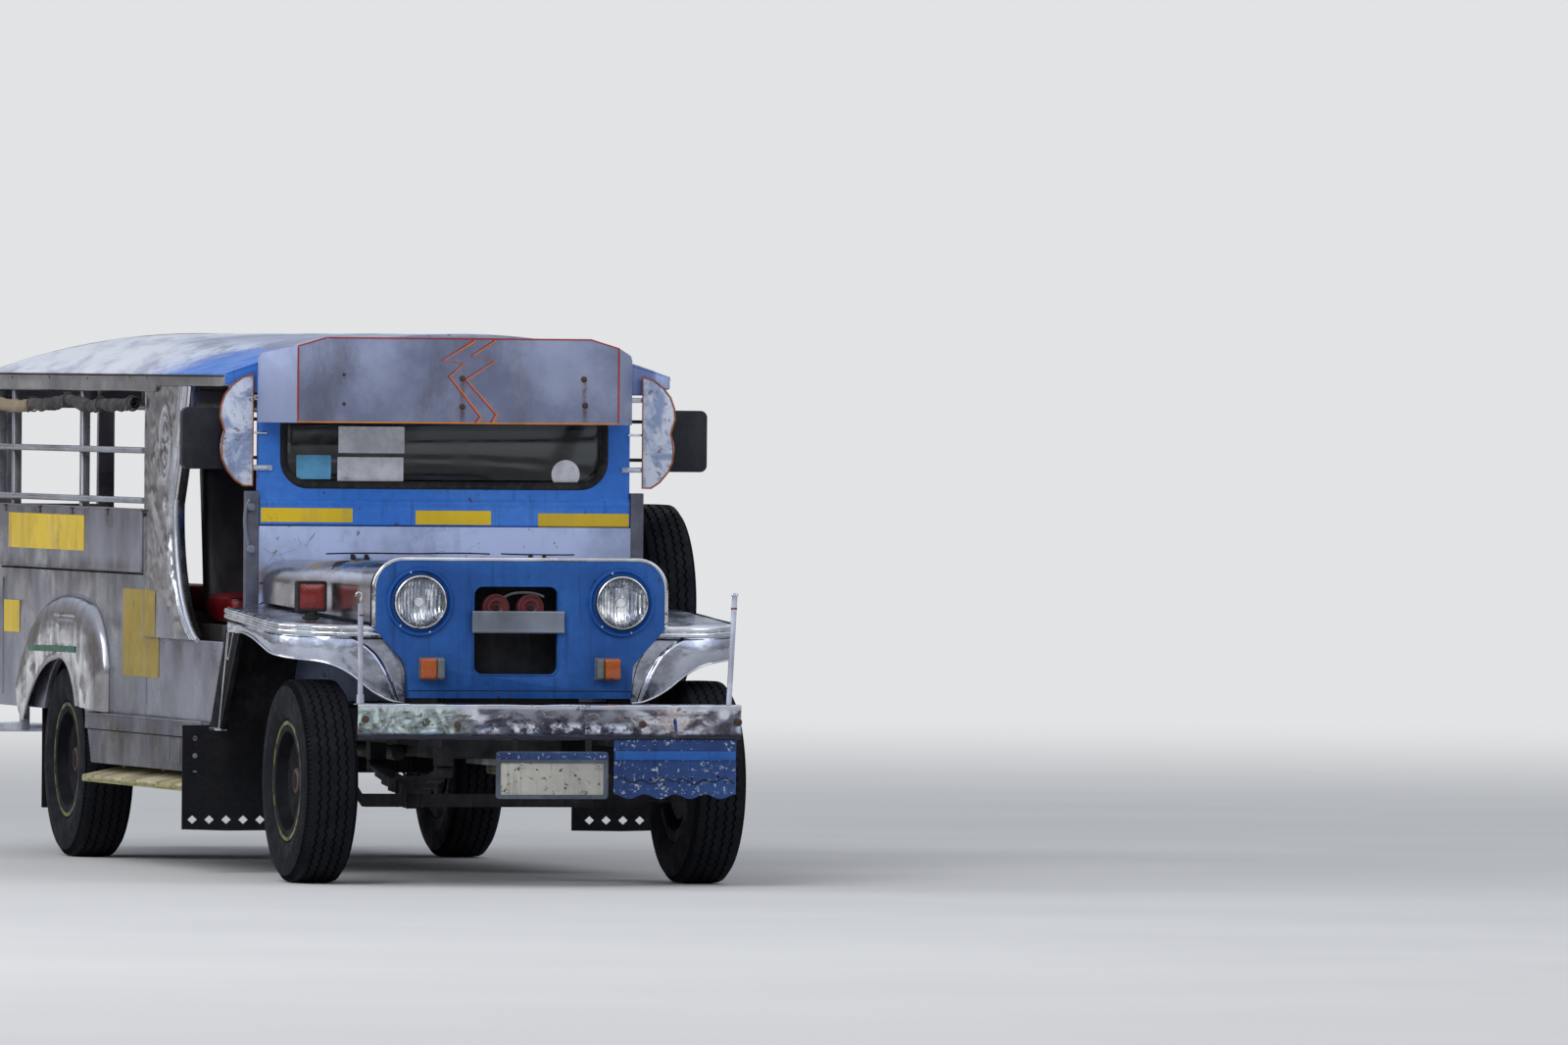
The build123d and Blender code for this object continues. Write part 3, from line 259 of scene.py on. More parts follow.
def traced(loops, kind="POLY", closed=True, **settings):
    """A mesh from a curve with these loops of points and these settings."""
    obj = added(bpy.ops.curve.primitive_nurbs_path_add, location=(0, 0, 0))
    curve = obj.data
    curve.splines.clear()
    for key, value in settings.items():
        setattr(curve, key, value)
    for loop in loops:
        spline = curve.splines.new(kind)
        spline.points.add(len(loop) - 1)
        for place, point in zip(spline.points, loop):
            place.co = (*point, 1)
        spline.use_cyclic_u = closed
        if kind == "NURBS":
            spline.order_u = 3
            spline.use_endpoint_u = not closed
            spline.resolution_u = 4
    only(obj)
    bpy.ops.object.convert(target="MESH")
    return bpy.context.view_layer.objects.active


def tube(points, radius, closed=False, curved=True, sides=4):
    """A round wire or pipe along points, as a mesh."""
    obj = traced([points], "NURBS" if curved else "POLY", closed, dimensions="3D", bevel_depth=radius,
                 bevel_resolution=sides, use_fill_caps=True)
    return smooth(outward(obj), 50)


def disc(centre, radius, depth, axis="Y", sides=32, width=0.001):
    """A short round cylinder with rounded rims, its middle at centre."""
    turn = {"X": (0, pi / 2, 0), "Y": (pi / 2, 0, 0), "Z": (0, 0, 0)}[axis]
    obj = added(bpy.ops.mesh.primitive_cylinder_add, vertices=sides, radius=radius, depth=depth, location=centre,
                rotation=turn)
    settle(obj)
    return rounded(obj, min(width, depth * 0.4), 2, 40)


def turned(profile, place, axis="Y", steps=48):
    """A ring or dish: a closed profile of (along, radius) points in millimetres, spun about an axis line."""
    obj = added(bpy.ops.mesh.primitive_circle_add, vertices=len(profile), radius=1, location=(0, 0, 0))
    for vertex, (along, radius) in zip(obj.data.vertices, profile):
        a, r = along / 1000, radius / 1000
        vertex.co = {"X": (a, 0, r), "Y": (0, a, r), "Z": (r, 0, a)}[axis]
    edit(obj)
    line = {"X": (1, 0, 0), "Y": (0, 1, 0), "Z": (0, 0, 1)}[axis]
    bpy.ops.mesh.spin(steps=steps, angle=2 * pi, center=(0, 0, 0), axis=line)
    leave()
    outward(obj)
    obj.location = place
    settle(obj)
    return obj


def at(x, y, z):
    """A place in millimetres from the front axle's middle on the ground, as metres of the frame."""
    return Vector((x / 1000, y / 1000 + AXLE_Y, z / 1000))


def ease(value, low, high):
    """0 below low, 1 above high, smooth between."""
    share = min(1.0, max(0.0, (value - low) / (high - low)))
    return share * share * (3 - 2 * share)


def along_table(table, key):
    """Value read between the (key, value) pairs of a table."""
    if key <= table[0][0]:
        return table[0][1]
    for (k0, v0), (k1, v1) in zip(table, table[1:]):
        if key <= k1:
            return v0 + (v1 - v0) * (key - k0) / (k1 - k0)
    return table[-1][1]


def groove(distance, width):
    """Height of a pressed line across its width."""
    return exp(-(distance / width) ** 2)


def dent(place, size, depth):
    """Smooth uneven height of hand-beaten sheet at a place."""
    return depth * noise.noise(Vector(place) / size)


def sheet(columns, rows, shape, out, wall=2.0, angle=40):
    """Sheet metal: a grid whose points go to shape(u, v) in millimetres, with a wall on its inner side."""
    obj = added(bpy.ops.mesh.primitive_grid_add, x_subdivisions=columns, y_subdivisions=rows, size=1,
                location=(0.5, 0.5, 0))
    settle(obj)
    for vertex in obj.data.vertices:
        vertex.co = at(*shape(vertex.co.x, vertex.co.y))
    obj.data.update()
    faces = obj.data.polygons
    if faces[len(faces) // 2].normal.dot(Vector(out)) < 0:
        obj.data.flip_normals()
    if wall:
        modified(obj, "SOLIDIFY", thickness=wall / 1000, offset=-1.0)
    return smooth(obj, angle)


def plate(outline, holes, thickness, axis, level, width=0.4):
    """A flat plate with holes; loops of (across, up) points in millimetres, its outer face at level."""
    loops = [[(across / 1000, up / 1000, 0) for across, up in loop] for loop in (outline, *holes)]
    obj = traced(loops, dimensions="2D", fill_mode="BOTH", extrude=thickness / 2000)
    middle = (level + thickness / 2) / 1000
    if axis == "Y":
        turn = Matrix(((1, 0, 0, 0), (0, 0, 1, middle + AXLE_Y), (0, 1, 0, 0), (0, 0, 0, 1)))
    else:
        turn = Matrix(((0, 0, 1, middle), (1, 0, 0, AXLE_Y), (0, 1, 0, 0), (0, 0, 0, 1)))
    obj.data.transform(turn)
    outward(obj)
    return rounded(obj, width / 1000, 1, 40) if width else smooth(obj, 40)


def rounded_loop(a0, a1, b0, b1, radius, steps=6):
    """Rectangle with round corners as a loop of points."""
    points = []
    for ca, cb, start in ((a1 - radius, b1 - radius, 0), (a0 + radius, b1 - radius, 90),
                          (a0 + radius, b0 + radius, 180), (a1 - radius, b0 + radius, 270)):
        for k in range(steps + 1):
            turn = radians(start + 90 * k / steps)
            points.append(around(ca, cb, radius, turn))
    return points


def around(a, b, radius, turn):
    """Point on a circle about (a, b)."""
    return a + radius * cos(turn), b + radius * sin(turn)


def circle(a, b, radius, steps):
    """Circle as a loop of points."""
    return [around(a, b, radius, 2 * pi * k / steps) for k in range(steps)]


def bead(points, radius, squash=1.0, axis="Y", level=0.0, closed=False, curved=True, sides=2):
    """A raised line through points in millimetres, flattened against the face that it lies on."""
    obj = tube([at(*p) for p in points], radius / 1000, closed, curved, sides)
    if squash != 1.0:
        k = "XYZ".index(axis)
        plane = at(level, level, level)[k]
        for vertex in obj.data.vertices:
            vertex.co[k] = plane + (vertex.co[k] - plane) * squash
    return obj


def faces_in(obj, finish, pick):
    """Gives the faces that pick accepts another finish."""
    obj.data.materials.append(material(finish))
    index = len(obj.data.materials) - 1
    for face in obj.data.polygons:
        if pick(face):
            face.material_index = index
    return obj


def marked(obj, value):
    """Keeps a number for every point in the attribute called height, which the finish reads."""
    field = obj.data.attributes.new("height", "FLOAT", "POINT")
    for vertex in obj.data.vertices:
        field.data[vertex.index].value = value(vertex.co)
    return obj


def shade(colour, factor, lift=0.0):
    """A darker or lighter tone of a colour."""
    return tuple(min(1.0, c * factor + lift) for c in colour)


class Nodes:
    """A node tree, written as calls that give each node its inputs."""

    def __init__(self, owner):
        owner.use_nodes = True
        self.tree = owner.node_tree

    def node(self, kind, inputs=None, **settings):
        made = self.tree.nodes.new("ShaderNode" + kind)
        for key, value in settings.items():
            setattr(made, key, value)
        for key, value in (inputs or {}).items():
            self.put(made.inputs[key], value)
        return made

    def put(self, socket, value):
        if isinstance(value, bpy.types.NodeSocket):
            self.tree.links.new(value, socket)
        elif isinstance(value, tuple) and len(value) == 3 and socket.type == "RGBA":
            socket.default_value = (*value, 1)
        else:
            socket.default_value = value


class Finish(Nodes):
    """A material's node tree, built up in layers around one Principled shader."""

    SOCKETS = {"metallic": "Metallic", "roughness": "Roughness", "ior": "IOR", "coat": "Coat Weight",
               "coat_roughness": "Coat Roughness", "sheen": "Sheen Weight", "glass": "Transmission Weight",
               "specular": "Specular IOR Level"}

    def __init__(self, name, **shader):
        self.material = bpy.data.materials.new(name)
        super().__init__(self.material)
        self.shader = self.tree.nodes["Principled BSDF"]
        for key, value in shader.items():
            self.shader.inputs[self.SOCKETS[key]].default_value = value
        self.coord = self.node("TexCoord").outputs["Object"]
        self.split = self.node("SeparateXYZ", {"Vector": self.coord})
        self.base = self.relief = None

    def place(self, stretch):
        if stretch is None:
            return self.coord
        return self.node("Mapping", {"Vector": self.coord, "Scale": stretch}).outputs["Vector"]

    def noise(self, scale, detail=4.0, rough=0.55, stretch=None, wobble=0.0):
        inputs = {"Vector": self.place(stretch), "Scale": scale, "Detail": detail, "Roughness": rough,
                  "Distortion": wobble}
        return self.node("TexNoise", inputs).outputs["Fac"]

    def cells(self, scale, stretch=None, feature="F1"):
        inputs = {"Vector": self.place(stretch), "Scale": scale}
        return self.node("TexVoronoi", inputs, feature=feature).outputs["Distance"]

    def wave(self, scale, axis, wobble=0.0):
        inputs = {"Vector": self.coord, "Scale": scale, "Distortion": wobble}
        return self.node("TexWave", inputs, wave_type="BANDS", bands_direction=axis).outputs["Fac"]

    def step(self, value, low, high, start=0.0, end=1.0):
        """From start to end as a value goes from low to high; a tuple is a noise, a letter is an axis."""
        if isinstance(value, tuple):
            value = self.noise(*value)
        elif isinstance(value, str):
            value = self.split.outputs[value]
        inputs = {"Value": value, "From Min": low, "From Max": high, "To Min": start, "To Max": end}
        return self.node("MapRange", inputs, interpolation_type="SMOOTHSTEP").outputs["Result"]

    def math(self, kind, first, second=0.0):
        return self.node("Math", {0: first, 1: second}, operation=kind).outputs[0]

    def times(self, first, second):
        return self.math("MULTIPLY", first, second)

    def band(self, axis, low, high, soft=0.02):
        """1 between two places along an axis, 0 outside."""
        rise = self.step(axis, low - soft, low + soft)
        return self.times(rise, self.step(axis, high - soft, high + soft, 1.0, 0.0))

    def mix(self, share, first, second):
        return self.node("Mix", {0: share, 6: first, 7: second}, data_type="RGBA").outputs[2]

    def ground(self, noise, ramp, first, second):
        """The two tones under everything else, spread by a noise."""
        self.base = self.mix(self.step(noise, *ramp), first, second)

    def cover(self, share, colour):
        """A colour over what is there, as far as the share says."""
        self.base = self.mix(share, self.base, colour)

    def layer(self, noise, ramp, colour):
        """A colour over what is there, spread by a noise."""
        self.cover(self.step(noise, *ramp), colour)

    def press(self, height, distance, strength):
        """Relief from a value or from a noise, over the relief that is there."""
        inputs = {"Strength": strength, "Distance": distance,
                  "Height": self.noise(*height) if isinstance(height, tuple) else height}
        if self.relief is not None:
            inputs["Normal"] = self.relief
        self.relief = self.node("Bump", inputs).outputs["Normal"]

    def end(self, roughness=None):
        for socket, value in (("Base Color", self.base), ("Roughness", roughness), ("Normal", self.relief)):
            if value is not None:
                self.put(self.shader.inputs[socket], value)
        return self.material


def old_paint(name, colour, faded, under=(0.09, 0.055, 0.04), chips=0.62, drips=0.35, rough=0.38, shine=0.5, grain=17):
    """Hand-brushed paint: uneven tone, chips down to rust, run-off streaks."""
    f = Finish(name, specular=shine, coat=0.08, coat_roughness=0.25)
    f.ground((2.2, 5, 0.6), (0.35, 0.7), colour, faded)
    f.layer((38, 6, 0.7), (0.35, 0.75, 0, 0.4), shade(colour, 0.62))
    f.layer((1.6, 6, 0.65, (26, 26, 1.2)), (0.52, 0.75, 0, drips), shade(colour, 0.35))
    chip = f.step((grain, 9, 0.68), chips, chips + 0.02)
    f.cover(chip, under)
    f.press(chip, 0.0012, 0.7)
    f.press((60, 3, 0.5), 0.0008, 0.5)
    f.press((3.4, 2, 0.5), 0.012, 0.35)
    return f.end(f.step((9, 5, 0.6), 0.3, 0.75, rough, rough + 0.28))


def bare_steel(name, colour, stain=(0.07, 0.05, 0.035), seam=None, stains=0.5, metallic=0.55, rough=0.42, dents=0.4):
    """Unpainted galvanised sheet with broad dull bloom, painted bright reflections, rain streaks and brown seepage
    under a seam.
    """
    f = Finish(name, metallic=metallic)
    dark = shade(colour, 0.6)
    f.ground((1.3, 4, 0.55), (0.34, 0.66), dark, shade(colour, 1.5, 0.02))
    f.layer((1.6, 4, 0.55, (2.2, 2.2, 0.8)), (0.4, 0.62, 0, 0.7), colour)
    # Painted reflection: brighter blotches of the sheet's own colour stand for light thrown off the metal.
    f.layer((2.0, 4, 0.55, (1.6, 1.6, 0.7)), (0.54, 0.74, 0, 0.5), shade(colour, 2.0, 0.03))
    between = tuple(0.5 * (c + d) for c, d in zip(stain, dark))
    f.layer((1.8, 5, 0.6, (2.6, 2.6, 0.5)), (0.54, 0.74, 0, 0.7 * stains), between)
    f.layer((26, 7, 0.7), (0.62, 0.68, 0, 0.5 * stains), stain)
    if seam is not None:
        reach = f.times(f.step("Z", seam - 0.2, seam + 0.004), f.step("Z", seam + 0.002, seam + 0.05, 1.0, 0.15))
        f.cover(f.times(reach, f.step((1.6, 5, 0.62, (2.6, 2.6, 1.0)), 0.34, 0.62, 0, 0.9)), stain)
    f.press((2.2, 3, 0.5), 0.03, dents)
    f.press((48, 4, 0.6), 0.0006, 0.5)
    return f.end(f.step((5, 5, 0.6), 0.3, 0.7, rough - 0.14, rough + 0.2))


def polished(name, colour=(0.62, 0.63, 0.66), stain=(0.12, 0.1, 0.09), dents=0.8, size=7.0, tarnish=0.5, rough=0.14):
    """Hand-beaten stainless sheet with blotchy reflections painted into its colour, over tarnish and dents."""
    f = Finish(name, metallic=1.0)
    # Painted reflections: darker and brighter blotches in the metal's colour stand for the surroundings seen in it.
    f.ground((size * 0.6, 2, 0.5), (0.36, 0.64), shade(colour, 0.62), colour)
    f.layer((size * 2.6, 3, 0.55, None, 0.4), (0.52, 0.72, 0, 0.5), shade(colour, 1.3))
    grime = f.step((3.2, 7, 0.62), 0.54, 0.72, 0, tarnish)
    f.cover(grime, stain)
    f.layer((48, 6, 0.7), (0.62, 0.68, 0, 0.6 * tarnish), shade(stain, 0.5))
    f.press((size, 1, 0.4, None, 0.3), 0.02, dents)
    f.press((size * 3.4, 2, 0.5), 0.004, dents)
    f.press((90, 4, 0.6), 0.0003, 0.4)
    return f.end(f.math("ADD", f.step((9, 5, 0.6), 0.35, 0.7, rough, rough + 0.14), f.step(grime, 0, 1, 0, 0.3)))


def bumper_finish(name):
    """Battered chrome with its light painted in: green-white reflection blotches at the right end, a dark reflection
    across the middle, a bright reflection band, a painted highlight along the top edge and painted shade on the dull
    dark lower roll.
    """
    f = Finish(name, metallic=1.0)
    # Painted reflections: dark and bright blotches all over, with green-white ones at the right end.
    f.ground((11, 2, 0.5, (1, 1, 1.6), 0.8), (0.4, 0.6), (0.17, 0.17, 0.22), (0.78, 0.8, 0.88))
    green_white_reflection = f.mix(f.step((14, 3, 0.5, None, 1.2), 0.42, 0.6), (0.3, 0.36, 0.36), (0.72, 0.88, 0.84))
    f.cover(f.times(f.step("X", -0.36, -0.24, 1.0, 0.0), 0.85), green_white_reflection)
    # Painted dark reflection across the middle of the face.
    middle = f.times(f.band("X", -0.2, 0.3, 0.07), f.step("Z", 0.53, 0.6, 1.0, 0.7))
    f.cover(f.times(middle, 0.9), (0.05, 0.05, 0.085))
    # Painted reflection: a bright band low across the middle of the face.
    bright_reflection_band = f.times(f.band("X", -0.24, 0.34, 0.04), f.band("Z", 0.52, 0.553, 0.012))
    f.cover(f.times(bright_reflection_band, f.step((30, 5, 0.65), 0.46, 0.56)), (0.8, 0.84, 0.92))
    crumple = f.times(f.band("X", 0.36, 0.5, 0.04), f.step((46, 4, 0.6), 0.42, 0.6))
    f.cover(f.times(crumple, 0.7), (0.5, 0.38, 0.36))
    # Painted shade on the lower roll, which faces the ground, and a painted highlight along the top edge.
    f.cover(f.step("Z", 0.514, 0.526, 1.0, 0.0), (0.05, 0.052, 0.07))
    f.cover(f.step("Z", 0.598, 0.606, 0.0, 0.75), (0.66, 0.68, 0.76))
    f.layer((24, 7, 0.7), (0.6, 0.64, 0, 0.85), (0.05, 0.035, 0.03))
    f.press((13, 2, 0.5, None, 0.5), 0.008, 0.8)
    f.press((36, 3, 0.6), 0.0016, 0.8)
    return f.end(f.step((22, 5, 0.6), 0.35, 0.7, 0.08, 0.3))


def cowl_finish(name):
    """Pale lavender paint with crazed cracks, worn corners and brown seepage near the edges."""
    f = Finish(name, specular=0.35)
    pale = tuple(bpy.context.scene.jeepney_colours.cowl)
    f.ground((2.6, 5, 0.6), (0.38, 0.62), shade(pale, 0.6), pale)
    f.layer((7, 6, 0.65, (1, 1, 0.5)), (0.5, 0.66, 0, 0.6), tone(134, 146, 180))
    crack = f.step(f.cells(9, (1, 1, 1.5), "DISTANCE_TO_EDGE"), 0.0, 0.012, 1.0, 0.0)
    broken = f.times(crack, f.step((4, 4, 0.6), 0.52, 0.6, 0, 0.8))
    f.cover(broken, tone(84, 74, 78))
    f.layer((24, 8, 0.7), (0.63, 0.66, 0, 0.85), tone(112, 98, 92))
    sides = f.step(f.math("ABSOLUTE", f.split.outputs["X"]), 0.52, 0.65)
    seep = f.times(f.times(f.step("Z", 0.98, 1.14, 1.0, 0.0), sides), f.step((5, 6, 0.7, (4, 4, 1)), 0.42, 0.6))
    f.cover(f.times(seep, 0.8), tone(96, 74, 56))
    f.press(broken, 0.001, 0.8)
    f.press((3.4, 3, 0.5), 0.02, 0.6)
    return f.end(f.step((9, 5, 0.6), 0.3, 0.7, 0.38, 0.66))


def mottled(name, colour, light, flecks):
    """Thin pale paint worn in soft blotches down to stained metal."""
    f = Finish(name, specular=0.4, metallic=0.15)
    f.ground((10, 4, 0.6, None, 0.5), (0.42, 0.6), colour, light)
    f.layer((21, 5, 0.65), (0.56, 0.64, 0, 0.7), shade(colour, 0.75))
    f.layer((34, 7, 0.7), (0.6, 0.64, 0, 0.8), flecks)
    f.press((8, 3, 0.5), 0.004, 0.5)
    return f.end(f.step((12, 5, 0.6), 0.3, 0.7, 0.32, 0.6))


def step_finish(name):
    """Yellow-white board with brown boot and rain streaks across it."""
    f = Finish(name, specular=0.35)
    f.ground((3, 5, 0.6), (0.35, 0.68), tone(172, 164, 124), tone(216, 208, 178))
    f.layer((1.8, 5, 0.62, (1.6, 3.6, 1), 0.5), (0.46, 0.62, 0, 0.8), tone(126, 100, 66))
    f.layer((20, 7, 0.7), (0.6, 0.66, 0, 0.7), tone(84, 66, 44))
    f.cover(f.times(f.step("Z", 0.282, 0.29, 1.0, 0.0), 0.7), tone(150, 150, 84))
    f.press((30, 5, 0.6), 0.0014, 0.5)
    return f.end(f.step((9, 5, 0.6), 0.3, 0.7, 0.45, 0.75))


def rubber(name, colour, dust, dirt):
    """Old rubber with grey dust and fine cracks."""
    f = Finish(name, specular=0.14)
    f.ground((5, 6, 0.65), (0.42, 0.8, 0, dirt), colour, dust)
    f.layer((60, 4, 0.6), (0.45, 0.8, 0, 0.3), dust)
    f.press((120, 5, 0.7), 0.0006, 0.8)
    return f.end(f.step((16, 4, 0.6), 0.3, 0.7, 0.62, 0.92))


def dull_metal(name, colour, rust=(0.11, 0.05, 0.025), amount=0.4, metallic=0.2, rough=0.55, dirt=0.35, shine=0.5):
    """Black or grey painted steel with rust and road dirt."""
    f = Finish(name, metallic=metallic, specular=shine)
    f.ground((6, 6, 0.65), (0.35, 0.75), colour, shade(colour, 1.8, 0.012))
    f.layer((19, 9, 0.75), (0.55, 0.72, 0, amount), rust)
    f.layer((3, 6, 0.6, (9, 9, 0.9)), (0.5, 0.7, 0, dirt), (0.09, 0.082, 0.075))
    f.press((32, 7, 0.7), 0.0015, 0.6)
    return f.end(f.step((14, 6, 0.65), 0.3, 0.75, rough - 0.1, rough + 0.3))


def roof_finish(name):
    """Blue at the front, streaked grey and violet behind it, white further back, with runs down the curve."""
    c = bpy.context.scene.jeepney_colours
    f = Finish(name, coat=0.1, coat_roughness=0.4)
    x, y = f.split.outputs["X"], f.split.outputs["Y"]
    side = f.math("ABSOLUTE", x)
    from_crown = f.math("SQRT", f.math("ADD", f.times(side, side), 0.06))
    sweep = f.math("ADD", y, f.times(from_crown, 2.5))
    across = f.node("CombineXYZ", {"X": sweep, "Y": f.times(from_crown, 0.5), "Z": f.times(x, 1.6)}).outputs["Vector"]
    streaks = f.node("TexNoise", {"Vector": across, "Scale": 2.6, "Detail": 5.0, "Roughness": 0.6}).outputs["Fac"]
    ragged = f.times(f.math("SUBTRACT", f.noise(3.4, 6, 0.65), 0.5), 0.9)
    back = f.step(f.math("ADD", sweep, f.times(ragged, 2.0)), 0.8, 2.8)
    f.base = f.mix(f.step(streaks, 0.42, 0.58), tone(118, 124, 160), tone(202, 212, 238))
    f.cover(f.times(back, f.step(streaks, 0.34, 0.6, 0.5, 1.0)), tuple(c.roof))
    crown = f.times(f.step(side, 0.28, 0.5, 1.0, 0.0), f.step("Y", 0.6, 1.8, 1.0, 0.0))
    f.cover(f.times(crown, 0.8), tone(150, 158, 182))
    front = f.times(f.step(f.math("ADD", y, ragged), -0.75, 0.05, 1.0, 0.0), f.step("X", 0.1, 0.4, 1.0, 0.3))
    low = f.step(f.math("ADD", side, f.times(ragged, 0.12)), 0.47, 0.53)
    f.cover(f.times(front, low), tuple(c.frame_blue))
    crack = f.step(f.cells(6.5, (1, 1.6, 1), "DISTANCE_TO_EDGE"), 0.0, 0.014, 0.5, 0.0)
    broken = f.times(crack, f.step((5, 4, 0.6), 0.5, 0.62))
    f.cover(broken, tone(60, 58, 68))
    f.layer((22, 8, 0.7), (0.66, 0.7, 0, 0.7), tone(84, 84, 96))
    f.press((5.5, 5, 0.6, (0.7, 2.2, 1)), 0.010, 0.7)
    f.press(broken, 0.002, 0.8)
    return f.end(f.step((8, 5, 0.6), 0.3, 0.7, 0.34, 0.7))


def visor_finish(name):
    """Bare grey board with smears, darker blotches and rust runs under its bolts."""
    f = Finish(name, metallic=0.35)
    f.ground((2.6, 6, 0.65), (0.32, 0.68), tone(112, 119, 146), tone(152, 160, 188))
    f.layer((5, 7, 0.7, (1, 1, 0.35)), (0.46, 0.7, 0, 0.6), tone(88, 88, 104))
    f.layer((3.2, 6, 0.7, (3, 3, 0.6)), (0.5, 0.78, 0, 0.4), tone(142, 130, 124))
    off_middle = f.math("ABSOLUTE", f.math("ADD", f.split.outputs["X"], 0.017))
    f.cover(f.step(off_middle, 0.566, 0.572, 0, 0.7), tone(156, 168, 204))
    for x, top in ((-0.005, 1.712), (-0.005, 1.614), (0.427, 1.712), (0.43, 1.62)):
        run = f.times(f.step("Z", 1.53, top - 0.02), f.step("Z", top - 0.006, top + 0.004, 1.0, 0.0))
        run = f.times(run, f.band("X", x - 0.006, x + 0.007, 0.008))
        f.cover(f.times(f.times(run, f.step((30, 5, 0.7), 0.3, 0.6)), 0.85), tone(92, 62, 46))
    f.press((3.0, 3, 0.5), 0.014, 0.5)
    f.press((40, 5, 0.65), 0.0006, 0.5)
    return f.end(f.step((7, 6, 0.65), 0.3, 0.75, 0.32, 0.66))


def plain_paint(name, colour, wear=0.3, under=(0.24, 0.22, 0.22)):
    """Thin brushed line or card with uneven cover and worn places."""
    f = Finish(name)
    f.ground((16, 5, 0.6), (0.35, 0.7), colour, shade(colour, 0.72))
    f.layer((34, 7, 0.7), (0.64 - wear * 0.2, 0.7, 0, 0.85), under)
    f.press((80, 4, 0.6), 0.0003, 0.5)
    return f.end(f.step((20, 4, 0.6), 0.3, 0.7, 0.5, 0.75))


def sign_paint(name, colour, drips, dirt):
    """Patch painted over bare sheet, with ragged wear and run-off streaks."""
    f = Finish(name, coat=0.1, coat_roughness=0.3)
    f.ground((3, 5, 0.6), (0.35, 0.7), colour, shade(colour, 0.8))
    f.layer((2.0, 5, 0.6, (5, 5, 0.8)), (0.5, 0.74, 0, drips), tone(150, 132, 84))
    f.layer((9, 8, 0.72), (0.58, 0.68, 0, dirt), tone(104, 92, 62))
    f.layer((26, 8, 0.75), (0.68, 0.71, 0, 0.9), tone(116, 114, 116))
    f.press((14, 5, 0.6), 0.002, 0.5)
    return f.end(f.step((12, 5, 0.6), 0.3, 0.7, 0.36, 0.62))


def glass(name, colour):
    """Thin clear glass with dust."""
    f = Finish(name, glass=1.0, ior=1.45)
    f.ground((7, 7, 0.7), (0.5, 0.85, 0, 0.25), colour, shade(colour, 0.7))
    f.press((5, 2, 0.5), 0.004, 0.1)
    return f.end(f.step((9, 6, 0.7), 0.35, 0.8, 0.03, 0.15))


def lens(name, colour):
    """Moulded lamp lens with fine ribs and dirt."""
    f = Finish(name, glass=0.2, ior=1.49, coat=0.6, coat_roughness=0.08)
    f.ground((18, 6, 0.7), (0.45, 0.75, 0, 0.6), colour, shade(colour, 0.4))
    f.press(f.wave(60.0, "X"), 0.0014, 0.8)
    return f.end(f.step((12, 5, 0.6), 0.3, 0.7, 0.12, 0.4))


def fluted_glass(name):
    """Round headlamp glass with upright flutes and cross bars moulded in."""
    f = Finish(name, glass=1.0, ior=1.4)
    f.ground((16, 6, 0.7), (0.45, 0.75, 0, 0.3), (0.97, 0.98, 1.0), (0.62, 0.66, 0.7))
    f.press(f.wave(34.0, "X"), 0.0009, 0.6)
    f.press(f.step(f.wave(11.0, "Z"), 0.3, 0.7), 0.0005, 0.5)
    return f.end(f.step((20, 5, 0.6), 0.3, 0.7, 0.0, 0.06))


def bowl_finish(name):
    """Silvered lamp bowl with upright ribs in its relief, and light and dark streaks painted into its colour as
    reflections.
    """
    f = Finish(name, metallic=1.0)
    ribs = f.wave(26.0, "X", 1.5)
    # Painted reflections: bright and dark streaks in the bowl's colour, darkest over the ribs.
    f.ground((14, 3, 0.6, (2.2, 1, 0.5)), (0.44, 0.6), (0.34, 0.38, 0.45), (1.0, 1.0, 1.0))
    f.cover(f.step(ribs, 0.75, 0.95, 0, 0.5), (0.2, 0.22, 0.27))
    f.press(ribs, 0.003, 0.8)
    return f.end(f.step((22, 4, 0.6), 0.35, 0.7, 0.05, 0.2))


def embossed(name, colour, valley_shade):
    """Polished sheet with light and shade painted from the height attribute: a painted highlight on the raised tops of
    its pressed lines and painted shade in the low places beside them.
    """
    f = Finish(name, metallic=0.9)
    height = f.node("Attribute", attribute_name="height").outputs["Fac"]
    f.ground((1.8, 3, 0.5), (0.36, 0.64), shade(colour, 0.6), colour)
    # Painted shade in the low places, painted highlight on the raised ones.
    f.cover(f.step(height, 0.0, 0.32, 0.85, 0.0), valley_shade)
    f.cover(f.step(height, 0.4, 0.75, 0.0, 0.8), (0.9, 0.91, 0.95))
    f.layer((5, 6, 0.62), (0.55, 0.72, 0, 0.4), shade(valley_shade, 0.6))
    f.press((5, 2, 0.5), 0.008, 0.4)
    return f.end(f.step((8, 5, 0.6), 0.35, 0.7, 0.16, 0.36))


def cloth(name, colour, stain, tan=None):
    """Coarse woven canvas, dusty and stained."""
    f = Finish(name, sheen=0.06, specular=0.35)
    f.ground((7, 7, 0.7, (1, 3, 1)), (0.4, 0.68), colour, stain)
    f.layer((3, 5, 0.6), (0.45, 0.7, 0, 0.7), shade(colour, 1.6))
    if tan:
        uneven = f.times(f.math("SUBTRACT", f.noise(4, 4, 0.6), 0.5), 1.2)
        f.cover(f.step(f.math("ADD", f.split.outputs["Y"], uneven), 1.55, 1.85), tan)
    f.press(f.math("ADD", f.wave(270.0, "Y"), f.wave(270.0, "Z")), 0.0006, 0.6)
    f.press((22, 5, 0.6, (1, 0.5, 1)), 0.005, 0.7)
    return f.end(f.step((16, 4, 0.6), 0.3, 0.7, 0.42, 0.85))


